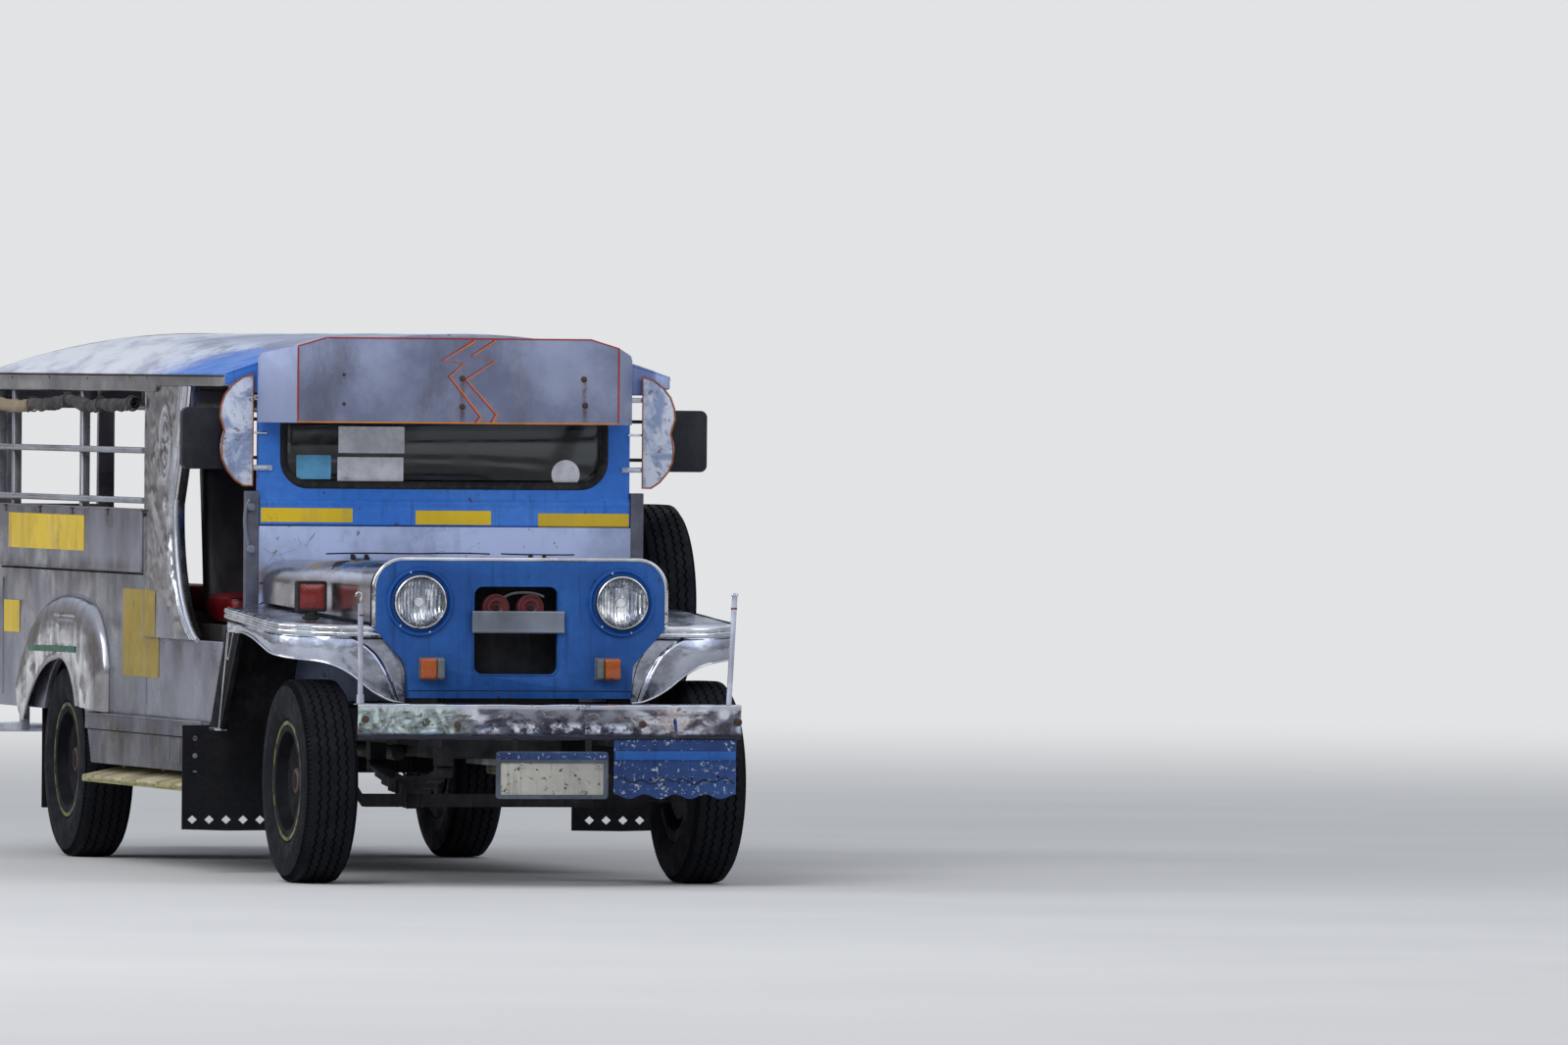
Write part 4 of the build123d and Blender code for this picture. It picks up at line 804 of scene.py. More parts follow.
def vinyl(name, colour):
    """Seat vinyl with fine grain, shine on the worn places and dark creases."""
    f = Finish(name, coat=0.2, coat_roughness=0.35)
    f.ground((5, 5, 0.6), (0.4, 0.75), colour, shade(colour, 0.45))
    f.layer((30, 7, 0.7), (0.62, 0.7, 0, 0.5), tone(70, 40, 36))
    f.press(f.cells(420), 0.0004, 0.7)
    f.press((12, 5, 0.6, (1, 1, 1), 0.5), 0.004, 0.6)
    return f.end(f.step((11, 5, 0.6), 0.3, 0.75, 0.28, 0.6))


def made(maker, *values, **named):
    """A finish function with its values, which waits for the name of the material."""
    return lambda name: maker(name, *values, **named)


def material(name):
    """The finish of that name, made the first time that it is asked for."""
    full = name + "_finish"
    if full in bpy.data.materials:
        return bpy.data.materials[full]
    c = bpy.context.scene.jeepney_colours
    makers = {
        "arch_steel": made(embossed, (0.56, 0.56, 0.6), (0.34, 0.33, 0.35)),
        "band_chrome": made(polished, (0.74, 0.76, 0.8), (0.16, 0.14, 0.13), 0.35, 12, 0.45, 0.1),
        "bar_steel": made(bare_steel, tone(126, 132, 144), stains=0.25, metallic=0.75, rough=0.3, dents=0.3),
        "black_plastic": made(dull_metal, (0.008, 0.0085, 0.014), (0.05, 0.05, 0.06), 0.25, 0.0, 0.45, 0.12, 0.3),
        "black_steel": made(dull_metal, (0.01, 0.01, 0.013), (0.06, 0.03, 0.018), 0.3, 0.0, 0.6, 0.2, 0.2),
        "bolt_rust": made(dull_metal, tone(70, 52, 44), amount=0.7, metallic=0.4),
        "bowl_silver": bowl_finish,
        "bumper_chrome": bumper_finish,
        "canvas": made(cloth, tuple(c.canvas), tone(26, 23, 25), tone(150, 134, 108)),
        "canvas_tie": made(cloth, tone(96, 88, 84), tone(50, 44, 42)),
        "card_blue": made(plain_paint, tone(104, 178, 222), 0.1, tone(170, 190, 200)),
        "card_white": made(plain_paint, tone(238, 240, 246), 0.05, tone(170, 172, 180)),
        "chrome": made(polished, (0.78, 0.79, 0.82), dents=0.25, size=9, tarnish=0.25, rough=0.07),
        "cowl_paint": cowl_finish,
        "engine_grey": made(dull_metal, (0.035, 0.036, 0.04), amount=0.4, metallic=0.4),
        "fascia_steel": made(bare_steel, tone(118, 116, 118), stains=0.5, metallic=0.6),
        "fender_steel": made(polished, (0.6, 0.64, 0.75), (0.2, 0.17, 0.17), 0.6, 5.0, 0.55, 0.19),
        "flap_blue": made(old_paint, tone(38, 58, 104), tone(52, 82, 138), (0.42, 0.46, 0.55),
                          0.585, 0.6, 0.5, 0.25, 62),
        "flap_rubber": made(rubber, (0.011, 0.0115, 0.015), (0.035, 0.034, 0.036), 0.4),
        "floor_plate": made(dull_metal, tone(92, 90, 88), amount=0.5, metallic=0.4),
        "frame_blue": made(old_paint, tuple(c.frame_blue), tone(76, 134, 220), (0.07, 0.06, 0.07), 0.63, 0.5, 0.4, 0.3),
        "green_strip": made(sign_paint, tone(36, 96, 76), 0.3, 0.6),
        "headlamp_lens": fluted_glass,
        "hood_steel": made(polished, (0.62, 0.61, 0.65), (0.18, 0.13, 0.1), 0.4, 2.4, 0.35, 0.16),
        # The dark red is darkened as painted shade, for the horns that sit in shade behind the bar.
        "horn_red": made(dull_metal, tone(84, 30, 32), (0.03, 0.02, 0.02), 0.5, 0.1, 0.42, 0.1),
        "hose_grey": made(rubber, (0.09, 0.09, 0.1), (0.2, 0.2, 0.2), 0.5),
        "lamp_amber": made(lens, tone(206, 96, 24)),
        "lamp_red": made(lens, tone(150, 34, 26)),
        "lamp_smoked": made(lens, tone(120, 130, 132)),
        "leg_steel": made(polished, (0.2, 0.19, 0.19), (0.03, 0.03, 0.03), 0.8, 4.5, 0.8, 0.2),
        "line_orange": made(plain_paint, tone(222, 132, 34)),
        "line_red": made(plain_paint, tone(168, 40, 30)),
        "mirror_glass": made(polished, (0.8, 0.82, 0.84), dents=0.02, size=3, tarnish=0.15, rough=0.03),
        "pale_blue": made(mottled, tone(142, 158, 192), tone(212, 219, 236), tone(116, 100, 104)),
        "pillar_plain": made(polished, (0.4, 0.39, 0.39), (0.14, 0.12, 0.1), 0.3, 4.0, 0.3, 0.2),
        "pillar_steel": made(embossed, (0.47, 0.48, 0.54), (0.15, 0.145, 0.16)),
        "plate_frame": made(dull_metal, tone(74, 82, 92), amount=0.5, metallic=0.4),
        "plate_white": made(old_paint, tone(196, 194, 184), tone(158, 156, 150), tone(74, 66, 58),
                            0.6, 0.7, 0.4, 0.5, 44),
        "pole_grey": made(dull_metal, tone(168, 172, 186), tone(96, 70, 60), 0.4, 0.5, 0.32),
        "post_dark": made(dull_metal, tone(78, 80, 92), tone(60, 46, 40), 0.4, 0.4, 0.45, 0.3),
        "post_grey": made(dull_metal, tone(96, 102, 116), amount=0.5, metallic=0.3),
        "rail_grey": made(bare_steel, tone(150, 152, 158), tone(96, 84, 70), None, 0.6, 0.6, 0.35, 0.1),
        # Rims and their ring are darkened as painted shade, and the ring's near-black chips cover about half of it as
        # painted shadow.
        "rim_dark": made(dull_metal, (0.003, 0.0032, 0.006), (0.02, 0.014, 0.012), 0.3, 0.0, 0.6, 0.06, 0.12),
        "rim_ring": made(old_paint, tone(122, 126, 48), tone(70, 74, 38), (0.012, 0.012, 0.014), 0.5, 0.7),
        "roof_edge": roof_finish,
        "roof_paint": roof_finish,
        "rust_edge": made(old_paint, tone(150, 78, 40), tone(176, 100, 52), chips=0.6),
        "seal_black": made(rubber, (0.016, 0.016, 0.018), (0.11, 0.105, 0.1), 0.3),
        "shell_blue": made(old_paint, tuple(c.shell), tone(50, 106, 184), (0.04, 0.035, 0.05), 0.635, 0.6, 0.42, 0.3),
        "side_steel": made(bare_steel, tuple(c.sheet), tone(84, 74, 74), 1.03, 0.35, 0.65, 0.33, 0.5),
        "sill_steel": made(bare_steel, tone(98, 99, 110), seam=0.47, stains=0.5),
        "step_edge": made(old_paint, tone(150, 154, 92), tone(120, 118, 70), tone(90, 76, 50), 0.56),
        "step_paint": step_finish,
        "strip_bright": made(bare_steel, tone(214, 218, 232), tone(120, 112, 110), None, 0.3, 0.5, 0.3),
        "tyre_rubber": made(rubber, (0.007, 0.0075, 0.011), (0.02, 0.02, 0.026), 0.35),
        "vinyl": made(vinyl, tuple(c.vinyl)),
        "vinyl_dark": made(vinyl, tone(52, 48, 52)),
        "visor_grey": visor_finish,
        # Near black for dark joints and gaps, and as painted shade in the wheel wells, on the cowl's low faces and
        # along the shadow beads under hems.
        "well_black": made(dull_metal, (0.004, 0.004, 0.006), (0.014, 0.01, 0.008), 0.3, 0.0, 0.8, 0.12, 0.15),
        # The near-black tint darkens the cab seen through the glass, as painted shade.
        "windshield": made(glass, (0.045, 0.05, 0.056)),
        "yellow_sign": made(sign_paint, tuple(c.patch), 0.75, 0.35),
        "yellow_stained": made(sign_paint, tone(156, 132, 34), 0.3, 0.85),
        "yellow_stained_edge": made(sign_paint, tone(214, 180, 36), 0.3, 0.7),
    }
    return makers[name](full)


# Half of the tyre's section: distance from its middle plane and radius, in millimetres
TYRE_SECTION = ((71, 180.5), (71, 206), (80, 210), (88, 226), (93, 246), (94.2, 258), (95, 260), (95, 265), (94, 268),
                (94.6, 284), (93, 300), (91, 312), (88.5, 322), (75, 340.5), (69, 343), (51, 343.8), (49.5, 335.5),
                (43.5, 335.5), (42, 344.3), (21, 344.9), (19.5, 336.5), (14, 336.5), (12.5, 345))
TREAD_LOW, TREAD_ZIGZAG = 0.333, 0.0046
TYRE_PLACES = {"front_right": (-677, 0, WHEEL_Z), "front_left": (677, 0, WHEEL_Z),
               "rear_right": (-677, REAR_AXLE, WHEEL_Z), "rear_left": (677, REAR_AXLE, WHEEL_Z),
               "spare": (833, 1262, 935)}


def make_tyre(steps):
    """One tyre round the X axis at the origin."""
    profile = [*TYRE_SECTION, *((-u, r) for u, r in reversed(TYRE_SECTION))]
    tyre = turned(profile, (0, 0, 0), "X", steps)
    for vertex in tyre.data.vertices:
        if hypot(vertex.co.y, vertex.co.z) > TREAD_LOW and abs(vertex.co.x) < 0.06:
            step = round(atan2(vertex.co.y, vertex.co.z) * steps / (2 * pi))
            vertex.co.x += TREAD_ZIGZAG * (1 if step % 2 else -1)
    tyre.data.update()
    edit(tyre, "FACE", lambda f: abs(f.calc_center_median().x) > 0.0765
         and 0.327 < hypot(*f.calc_center_median().yz) < 0.3375)
    bpy.ops.mesh.inset(thickness=0.0024, depth=-0.006, use_individual=True)
    leave()
    return tyre


def make_nuts():
    """Six wheel nuts and the hub cap, on the outer side of a wheel at the origin."""
    parts = []
    for k in range(6):
        turn = 2 * pi * (k + 0.5) / 6
        parts.append(disc((0.025, 0.065 * cos(turn), 0.065 * sin(turn)), 0.0115, 0.014, "X", 6, 0.0015))
    parts.append(turned([(18, 0), (18, 50), (30, 48), (50, 42), (53.5, 34), (53.5, 0)],
                        (0, 0, 0), "X", 32))
    return joined(parts)


class JEEPNEY_OT_wheels(bpy.types.Operator):
    """Tyres with zigzag ribs, rims with their painted ring and nuts"""

    bl_idname = "jeepney.wheels"
    bl_label = "Tyres and rims"

    def execute(self, context):
        tyre = make_tyre(context.scene.jeepney_sizes.tread_steps)
        ring = turned([(78.7, 191), (78.7, 203.5), (80.6, 203.5), (81.2, 197), (80.6, 191)], (0, 0, 0), "X", 64)
        nuts = make_nuts()
        for tail, place in TYRE_PLACES.items():
            body = "chassis" if tail == "spare" else "wheel_" + tail
            shift = Matrix.Translation(at(*place))
            side = -1 if tail.endswith("right") else 1
            node = "spare_tyre" if tail == "spare" else "tyre_" + tail
            placed(smooth(copied(tyre, shift), 32), node + "_tread", "tyre_rubber", "tyre", (node,), body=body)
            dressed("spare_rim" if tail == "spare" else "rim_" + tail, "rim_dark", "rim_dark", width=0.0015)
            for what, source, finish in (("rim_ring_", ring, "rim_ring"), ("wheel_nuts_", nuts, "bolt_rust")):
                piece = copied(source, shift @ Matrix.Diagonal((side, 1, 1, 1)), flip=side < 0)
                placed(piece, what + tail, finish, "rim_dark", body=body)
        for done in (tyre, ring, nuts):
            bpy.data.objects.remove(done)
        return {"FINISHED"}


class JEEPNEY_OT_running_gear(bpy.types.Operator):
    """Frame, springs, axles, engine and exhaust"""

    bl_idname = "jeepney.running_gear"
    bl_label = "Running gear"

    def execute(self, context):
        for node in ("chassis_frame", "leaf_springs", "front_axle", "rear_axle", "knuckle_right", "knuckle_left"):
            dressed(node, "black_steel", "black_steel", width=0.002)
        dressed("engine_block", "engine_grey", "grey_iron", width=0.012, segments=3)
        dressed("radiator", "black_steel", "black_steel", width=0.004)
        dressed("exhaust_pipe", "engine_grey", "grey_iron", width=0.002)
        return {"FINISHED"}


# Bumper section from its upper back edge over the front to its lower back edge: (y, z)
BUMPER_SECTION = ((-562, 617), (-600, 619), (-621, 619.5), (-626, 618), (-628.5, 614), (-629, 608), (-628, 580),
                  (-628, 540), (-629, 518), (-628, 508), (-624, 501), (-616, 497.5), (-602, 497), (-590, 498))


def bar_shape(u, v):
    """Point of the dented bar; u runs along it and v over its section."""
    x = -666 + 1332 * u
    place = v * (len(BUMPER_SECTION) - 1)
    k = min(int(place), len(BUMPER_SECTION) - 2)
    (y0, z0), (y1, z1) = BUMPER_SECTION[k], BUMPER_SECTION[k + 1]
    y, z = y0 + (y1 - y0) * (place - k), z0 + (z1 - z0) * (place - k)
    face = ease(z, 500, 520) * (1 - ease(z, 606, 618)) * (1 if y < -610 else 0)
    depth = 3.5 + dent((x, z * 1.4, 3), 95, 4.5) + dent((x, z * 1.3, 9), 34, 2.6) + dent((x, z, 5), 13, 0.8)
    y += face * max(0.0, depth)
    crease = groove(x - 437 + 0.12 * (z - 560), 9) - 0.6 * groove(x - 458, 12)
    y += face * 4 * max(0.0, crease + 0.35 * groove(x - 600, 16))
    if y < -600:
        top = ease(z, 596, 619)
        z += top * (dent((x, 1, 2), 120, 2.2) - 2.4 + 2.4 * groove(x + 505, 26) - 3 * groove(x - 430, 14))
        z += (1 - ease(z, 497, 515)) * (1.2 + dent((x, 4, 7), 150, 1.6))
    return x, y, z


def make_poles():
    """The pole with a hook at the right end and the plain one at the left end."""
    right = tube([at(-652, -600, 618), at(-654, -600, 955)], 0.0095, curved=False, sides=4)
    cap = turned([(0, 0), (0, 12.5), (4, 13.5), (30, 12.5), (34, 6), (34, 0)],
                 at(-652, -600, 618), "Z", 24)
    placed(joined([right, cap]), "pole_right", "pole_grey", "chrome")
    hook = [at(-654, -600, 950), at(-654, -600, 968), at(-648, -600, 978), at(-652, -600, 990), at(-664, -600, 993),
            at(-671, -600, 985), at(-669, -600, 978)]
    placed(tube(hook, 0.0026), "pole_hook", "chrome", "chrome")
    left = tube([at(628, -600, 618), at(646, -600, 988)], 0.0095, curved=False, sides=4)
    placed(left, "pole_left", "pole_grey", "chrome")
    for name, x, z in (("pole_mark_right", -652, 912), ("pole_mark_left", 643.5, 940)):
        mark = turned([(0, 9.4), (0, 10.6), (6, 10.6), (6, 9.4)], at(x, -600, z), "Z", 24)
        placed(mark, name, "horn_red", "horn_red")
    tip = turned([(0, 0), (0, 10.5), (4, 11.5), (10, 10.5), (12, 6), (12, 0)],
                 at(646, -600, 984), "Z", 24)
    placed(tip, "pole_tip", "chrome", "chrome")


def make_number_plate():
    """Blank number plate in its frame, with a painted top bar."""
    inner = sheet(60, 24, lambda u, v: (-172 + 360 * u, -620.5 - dent((u * 360, v * 130, 1), 60, 1.2), 312 + 112 * v),
                  (0, -1, 0), 2.0)
    placed(inner, "number_plate_face", "plate_white", "plate_white", ("number_plate",))
    rim = plate(rounded_loop(-186, 204, 300, 460, 12), [rounded_loop(-170, 188, 314, 421, 6)], 4.0, "Y", -624)
    placed(rim, "number_plate_frame", "plate_frame", "black_steel")
    bar = block(at(-184, -626.5, 434), at(202, -622, 455), 0.002)
    placed(bar, "number_plate_bar", "flap_blue", "flap_blue")
    rings = [turned([(-2.2, 4.5), (-3.4, 6.5), (-3.4, 8.5), (0, 9.5), (0, 4.5)],
                    at(x, -622, z), "Y", 20) for x, z in ((-96, 413), (114, 323), (-150, 330), (170, 410))]
    placed(joined(rings), "number_plate_screws", "plate_white", "plate_white")
    strips = [block(at(x - 11, -623, 452), at(x + 11, -619.5, 506), 0.001) for x in (-120, 135)]
    placed(joined(strips), "number_plate_straps", "black_steel", "black_steel")


def make_flap():
    """Blue flap, its upper strip and the wavy cut with holes."""
    wave = [(225, 612)] + [(225 + 425 * k / 36, 309 + 8 * cos(k * pi / 4.5)) for k in range(37)] + [(650, 612)]
    holes = [circle(x, z, 4.2, 10) for x, z in ((262, 372), (300, 357), (352, 366), (398, 350), (452, 357), (497, 370),
                                                  (543, 362), (588, 376), (612, 360))]
    placed(plate(wave, holes, 5.0, "Y", -620), "bumper_flap_sheet", "flap_blue", "flap_blue", ("bumper_flap",))
    strip = block(at(228, -624.5, 432), at(648, -620.5, 462), 0.0015)
    placed(strip, "flap_strip", "shell_blue", "flap_blue")
    cut = [(232 + 412 * k / 40, -620.6, 362 + 7 * sin(k * 0.9) + 5 * sin(k * 0.37 + 1)) for k in range(41)]
    placed(bead(cut, 2.2, 0.35, "Y", -620.4), "flap_cut_line", "seal_black", "rubber_black")


class JEEPNEY_OT_bumper(bpy.types.Operator):
    """Dented front bumper, its poles, the blank plate and the flap under it"""

    bl_idname = "jeepney.bumper"
    bl_label = "Front bumper"

    def execute(self, context):
        bar = sheet(170, 26, bar_shape, (0, -1, 0), 3.0, 50)
        placed(bar, "bumper_bar", "bumper_chrome", "chrome", ("front_bumper",))
        for x, z in ((-322, 547), (321, 552), (-640, 566), (655, 560)):
            washer = disc(at(x, -627.3, z), 0.013, 0.0036, "Y", 20)
            bolt = joined([washer, disc(at(x, -627.6, z), 0.0075, 0.0046, "Y", 6)])
            placed(bolt, f"bumper_bolt_{x + 700}", "bolt_rust", "chrome")
        make_poles()
        make_number_plate()
        make_flap()
        return {"FINISHED"}


def make_headlamp(x, tail, first):
    """Bezel, bright ring, bowl, bulb shield and domed lens of one lamp."""
    middle = (x / 1000, AXLE_Y, 0.955)
    rings = {
        "bezel": ([(-208, 116), (-215, 115.5), (-221.5, 112), (-222, 108), (-217, 105), (-211.5, 101), (-213, 98),
                   (-222, 95), (-222, 93), (-208, 92)], "shell_blue", "shell_blue"),
        "ring": ([(-212, 91.8), (-226, 91.5), (-230, 89.5), (-231, 87), (-229, 84.6), (-224, 83.6), (-212, 83.6)],
                 "chrome", "chrome"),
        "gasket": ([(-216, 94.5), (-223.4, 94.3), (-224.4, 93), (-223.4, 91.4), (-216, 91.2)], "seal_black",
                   "black_steel"),
        "bowl": ([(-223, 84), (-206, 79), (-192, 66), (-182, 46), (-178, 20), (-178, 0), (-176, 0), (-176, 22),
                  (-180, 48), (-190, 69), (-204, 82), (-219, 85)], "bowl_silver", "chrome"),
        "shield": ([(-206, 0), (-206, 15), (-204, 17), (-196, 18), (-180, 8), (-180, 0)], "chrome", "chrome"),
    }
    for name, (profile, finish, slot) in rings.items():
        piece = smooth(turned(profile, middle, "Y", 64), 45)
        placed(piece, f"headlamp_{name}_{tail}", finish, slot, ("headlamps",) if name == "bezel" and first else ())
    dome = [(-(226 + 10 * (1 - (r / 84) ** 2)), r) for r in range(0, 85, 12)]
    back = [(-(223 + 9 * (1 - (r / 84) ** 2)), r) for r in range(84, -1, -12)]
    piece = smooth(turned(dome + back, middle, "Y", 64), 45)
    placed(piece, f"headlamp_lens_{tail}", "headlamp_lens", "lamp_glass")
    screws = [disc(at(x + 106 * cos(t), -221, 955 + 106 * sin(t)), 0.0035, 0.003, "Y", 10, 0.0006)
              for t in (-1.25, 1.9, 4.0)]
    placed(joined(screws), f"bezel_screws_{tail}", "chrome", "chrome")


def make_horns():
    """Two red horn discs behind the bar, and the bright channel bar in front."""
    profile = [(-168, 0), (-168, 44), (-176, 47), (-196, 47), (-203, 45.5), (-204, 42), (-200, 39.5), (-199, 33),
               (-203, 31), (-204, 24), (-200, 21), (-198, 12), (-203, 10), (-204, 0)]
    for tail, x in (("right", -83), ("left", 37)):
        horn = smooth(turned(profile, (x / 1000, AXLE_Y, 0.937), "Y", 56), 45)
        placed(horn, "horn_" + tail, "horn_red", "horn_red", ("horn_bar",) if tail == "right" else ())
        cap = turned([(-204, 0), (-205.5, 4), (-205.5, 8), (-204, 9.5), (-200, 9.5), (-200, 0)],
                     (x / 1000, AXLE_Y, 0.937), "Y", 20)
        placed(cap, "horn_cap_" + tail, "seal_black", "black_steel")
        stay = block(at(x - 9, -199, 905), at(x + 9, -196, 930), 0.001)
        placed(stay, "horn_stay_" + tail, "black_steel", "black_steel")
    bar = sheet(50, 22, lambda u, v: (-172 + 322 * u, *bar_section(u, v)), (0, -1, 0), 2.0, 35)
    placed(bar, "horn_channel", "bar_steel", "chrome")
    hose = [(-60, -196, 968), (-40, -200, 984), (10, -200, 990), (60, -198, 986), (84, -195, 975)]
    placed(bead(hose, 4.5), "horn_hose", "hose_grey", "black_steel")


def bar_section(u, v):
    """Folded channel with a hollow face; it leans out a little at its left end."""
    section = ((-211, 925), (-223, 926), (-226, 922), (-224.6, 914), (-223.6, 890), (-224.6, 862), (-226, 855),
               (-223, 851), (-211, 851.5))
    place = v * (len(section) - 1)
    k = min(int(place), len(section) - 2)
    (y0, z0), (y1, z1) = section[k], section[k + 1]
    wave = dent((u * 320, v * 70, 8), 60, 0.7)
    return y0 + (y1 - y0) * (place - k) + wave, z0 + (z1 - z0) * (place - k)


def make_small_lamps():
    """Turn signals on the shell, the red lamp on the right fender and the rear lamps."""
    for tail, outer, inner in (("right", -356, -268), ("left", 347, 259)):
        way = 1 if inner > outer else -1
        base = block(at(outer, -221, 692), at(inner, -210, 769), 0.004)
        placed(base, f"signal_base_{tail}", "post_grey", "black_steel", ("small_lamps",) if tail == "right" else ())
        amber = block(at(outer + way * 3, -249, 695), at(outer + way * 58, -219, 766), 0.008, 4)
        placed(amber, f"signal_amber_{tail}", "lamp_amber", "lamp_amber")
        clear = block(at(outer + way * 60, -245, 696), at(inner - way * 2, -219, 765), 0.006, 4)
        placed(clear, f"signal_clear_{tail}", "lamp_smoked", "lamp_glass")
    lo, hi = (-684, 176, 915), (-578, 224, 1020)
    rim = block(at(*lo), at(*hi), 0.009, 4)
    edit(rim, "FACE", lambda f: f.normal.y < -0.95)
    bpy.ops.mesh.inset(thickness=0.005, depth=-0.006)
    leave()
    placed(rim, "fender_lamp_case", "seal_black", "black_steel")
    front = sheet(24, 24, lambda u, v: (-676 + 90 * u, 182 - 9 * (1 - (2 * u - 1) ** 4) * (1 - (2 * v - 1) ** 4),
                                        923 + 89 * v), (0, -1, 0), 4.0)
    placed(front, "fender_lamp_lens", "lamp_red", "lamp_amber")
    stalk = joined([disc(at(-631, 200, z), radius, depth, "Z", 24, 0.002)
                    for z, radius, depth in ((905, 0.02, 0.03), (895, 0.03, 0.008))])
    placed(stalk, "fender_lamp_foot", "seal_black", "black_steel")
    for side, tail in SIDES:
        case = block(at(side * 600, 4430, 900), at(side * 700, 4452, 1040), 0.005, 3)
        placed(case, f"rear_lamp_case_{tail}", "chrome", "chrome")
        for name, z0, z1, finish in (("red", 970, 1036, "lamp_red"), ("amber", 904, 966, "lamp_amber")):
            glow = block(at(side * 604, 4451, z0), at(side * 696, 4469, z1), 0.007, 4)
            placed(glow, f"rear_lamp_{name}_{tail}", finish, "lamp_amber")


class JEEPNEY_OT_grille(bpy.types.Operator):
    """Grille shell with its lamps, horns, bar and edge trim"""

    bl_idname = "jeepney.grille"
    bl_label = "Grille shell and lamps"

    def execute(self, context):
        dressed("grille_shell", "shell_blue", "shell_blue", width=0.002)
        trim = [(-510, -206, 871), (-510, -206, 1000)]
        trim += [(-410 - 100 * cos(radians(a)), -206, 1000 + 100 * sin(radians(a))) for a in range(8, 90, 11)]
        trim += [(-410, -206, 1100), (-200, -206, 1100), (0, -206, 1100)]
        trim += [(-x, y, z) for x, y, z in reversed(trim[:-1])]
        placed(bead(trim, 7.5), "shell_trim", "chrome", "chrome")
        for name, points in (("shell_seam", [(-388, -210.5, 655), (0, -210.5, 657), (388, -210.5, 655)]),
                             ("shell_joint_right", [(-391, -210.5, 632), (-396, -210.5, 742), (-432, -210.5, 782)]),
                             ("shell_joint_left", [(391, -210.5, 632), (396, -210.5, 742), (432, -210.5, 782)])):
            placed(bead(points, 1.6, 0.5, "Y", -210), name, "seal_black", "black_steel")
        edge = rounded_loop(-164, 133, 709, 1011, 32)
        placed(bead([(x, -209.5, z) for x, z in edge], 3.2, closed=True), "opening_lip", "shell_blue", "shell_blue")
        for side, tail in SIDES:
            make_headlamp(side * 352, tail, side == -1)
        make_horns()
        make_small_lamps()
        return {"FINISHED"}


# Lower edge of the front fender as (mm along its plan, height), and the seam of its domed part as (height, mm along)
FENDER_LIP = ((0, 614), (45, 618), (100, 643), (135, 665), (175, 701), (205, 722), (241, 740), (286, 752), (340, 758),
              (416, 764), (481, 772), (542, 781), (592, 790), (680, 808), (772, 825), (860, 836), (952, 841),
              (1042, 838), (1172, 838))
FENDER_SEAM = ((612, 18), (630, 26), (675, 40), (719, 61), (752, 79), (776, 96), (800, 124), (818, 151), (845, 200))
FENDER_FLAT, FENDER_R, FENDER_END = 165.0, 240.0, 1172.0


def fender_line(s):
    """Plan point and outward direction s mm along the right front fender, from its inner front corner."""
    if s < FENDER_FLAT:
        return (-395 - s, -180), (0, -1)
    turn = (s - FENDER_FLAT) / FENDER_R
    if turn < pi / 2:
        return (-560 - FENDER_R * sin(turn), 60 - FENDER_R * cos(turn)), (-sin(turn), -cos(turn))
    return (-800, 60 + s - FENDER_FLAT - FENDER_R * pi / 2), (-1, 0)


def fender_crown(y):
    """Height of the fender's top at a place along the vehicle."""
    return 870 + 0.0545 * (y + 210)


def on_fender(s, z, off):
    """Point of the fender's side at that height, off mm outside its CAD skin."""
    (x, y), (dx, dy) = fender_line(s)
    return x + dx * off, y + dy * off, z


def make_hood():
    """Dented hood skin over the CAD form, and the CAD hood itself dressed beneath it."""
    skin = sheet(120, 60, hood_shape, (0, 0, 1), 2.0, 30)
    placed(skin, "hood_sheet", "hood_steel", "bare_metal", body="hood")
    dressed("hood", "black_steel", "bare_metal", width=0.002, name="hood_inner")


def hood_shape(u, v):
    """Point of the hood; u runs round its arch from side to side and v from front to back."""
    y = -151 + 953 * v
    half, top = 508 + 147 * v + 1.5, 1094 - 12 * v + 1.5
    bottom, corner = 886 + 54 * v, 95 - 25 * v
    side_run, bend, flat = top - corner - bottom, corner * pi / 2, 2 * (half - corner)
    along = u * (2 * side_run + 2 * bend + flat)
    way, run = (-1, along) if along < side_run + bend + flat / 2 else (1, 2 * side_run + 2 * bend + flat - along)
    if run < side_run:
        x, z, nx, nz = half, bottom + run, 1, 0
    elif run < side_run + bend:
        turn = (run - side_run) / corner
        x, z = half - corner + corner * cos(turn), top - corner + corner * sin(turn)
        nx, nz = cos(turn), sin(turn)
    else:
        x, z, nx, nz = half - corner - (run - side_run - bend), top, 0, 1
    middle = sin(pi * min(1, max(0, v)))
    off = middle * (dent((x * way, y, z), 210, 2.2) + dent((x * way, y, z), 70, 0.9)) - 0.4
    z += nz * off + 3.0 * middle * nz * (1 - (x / half) ** 2) - 2.0 * middle * nz
    return way * (x + nx * off), y, z


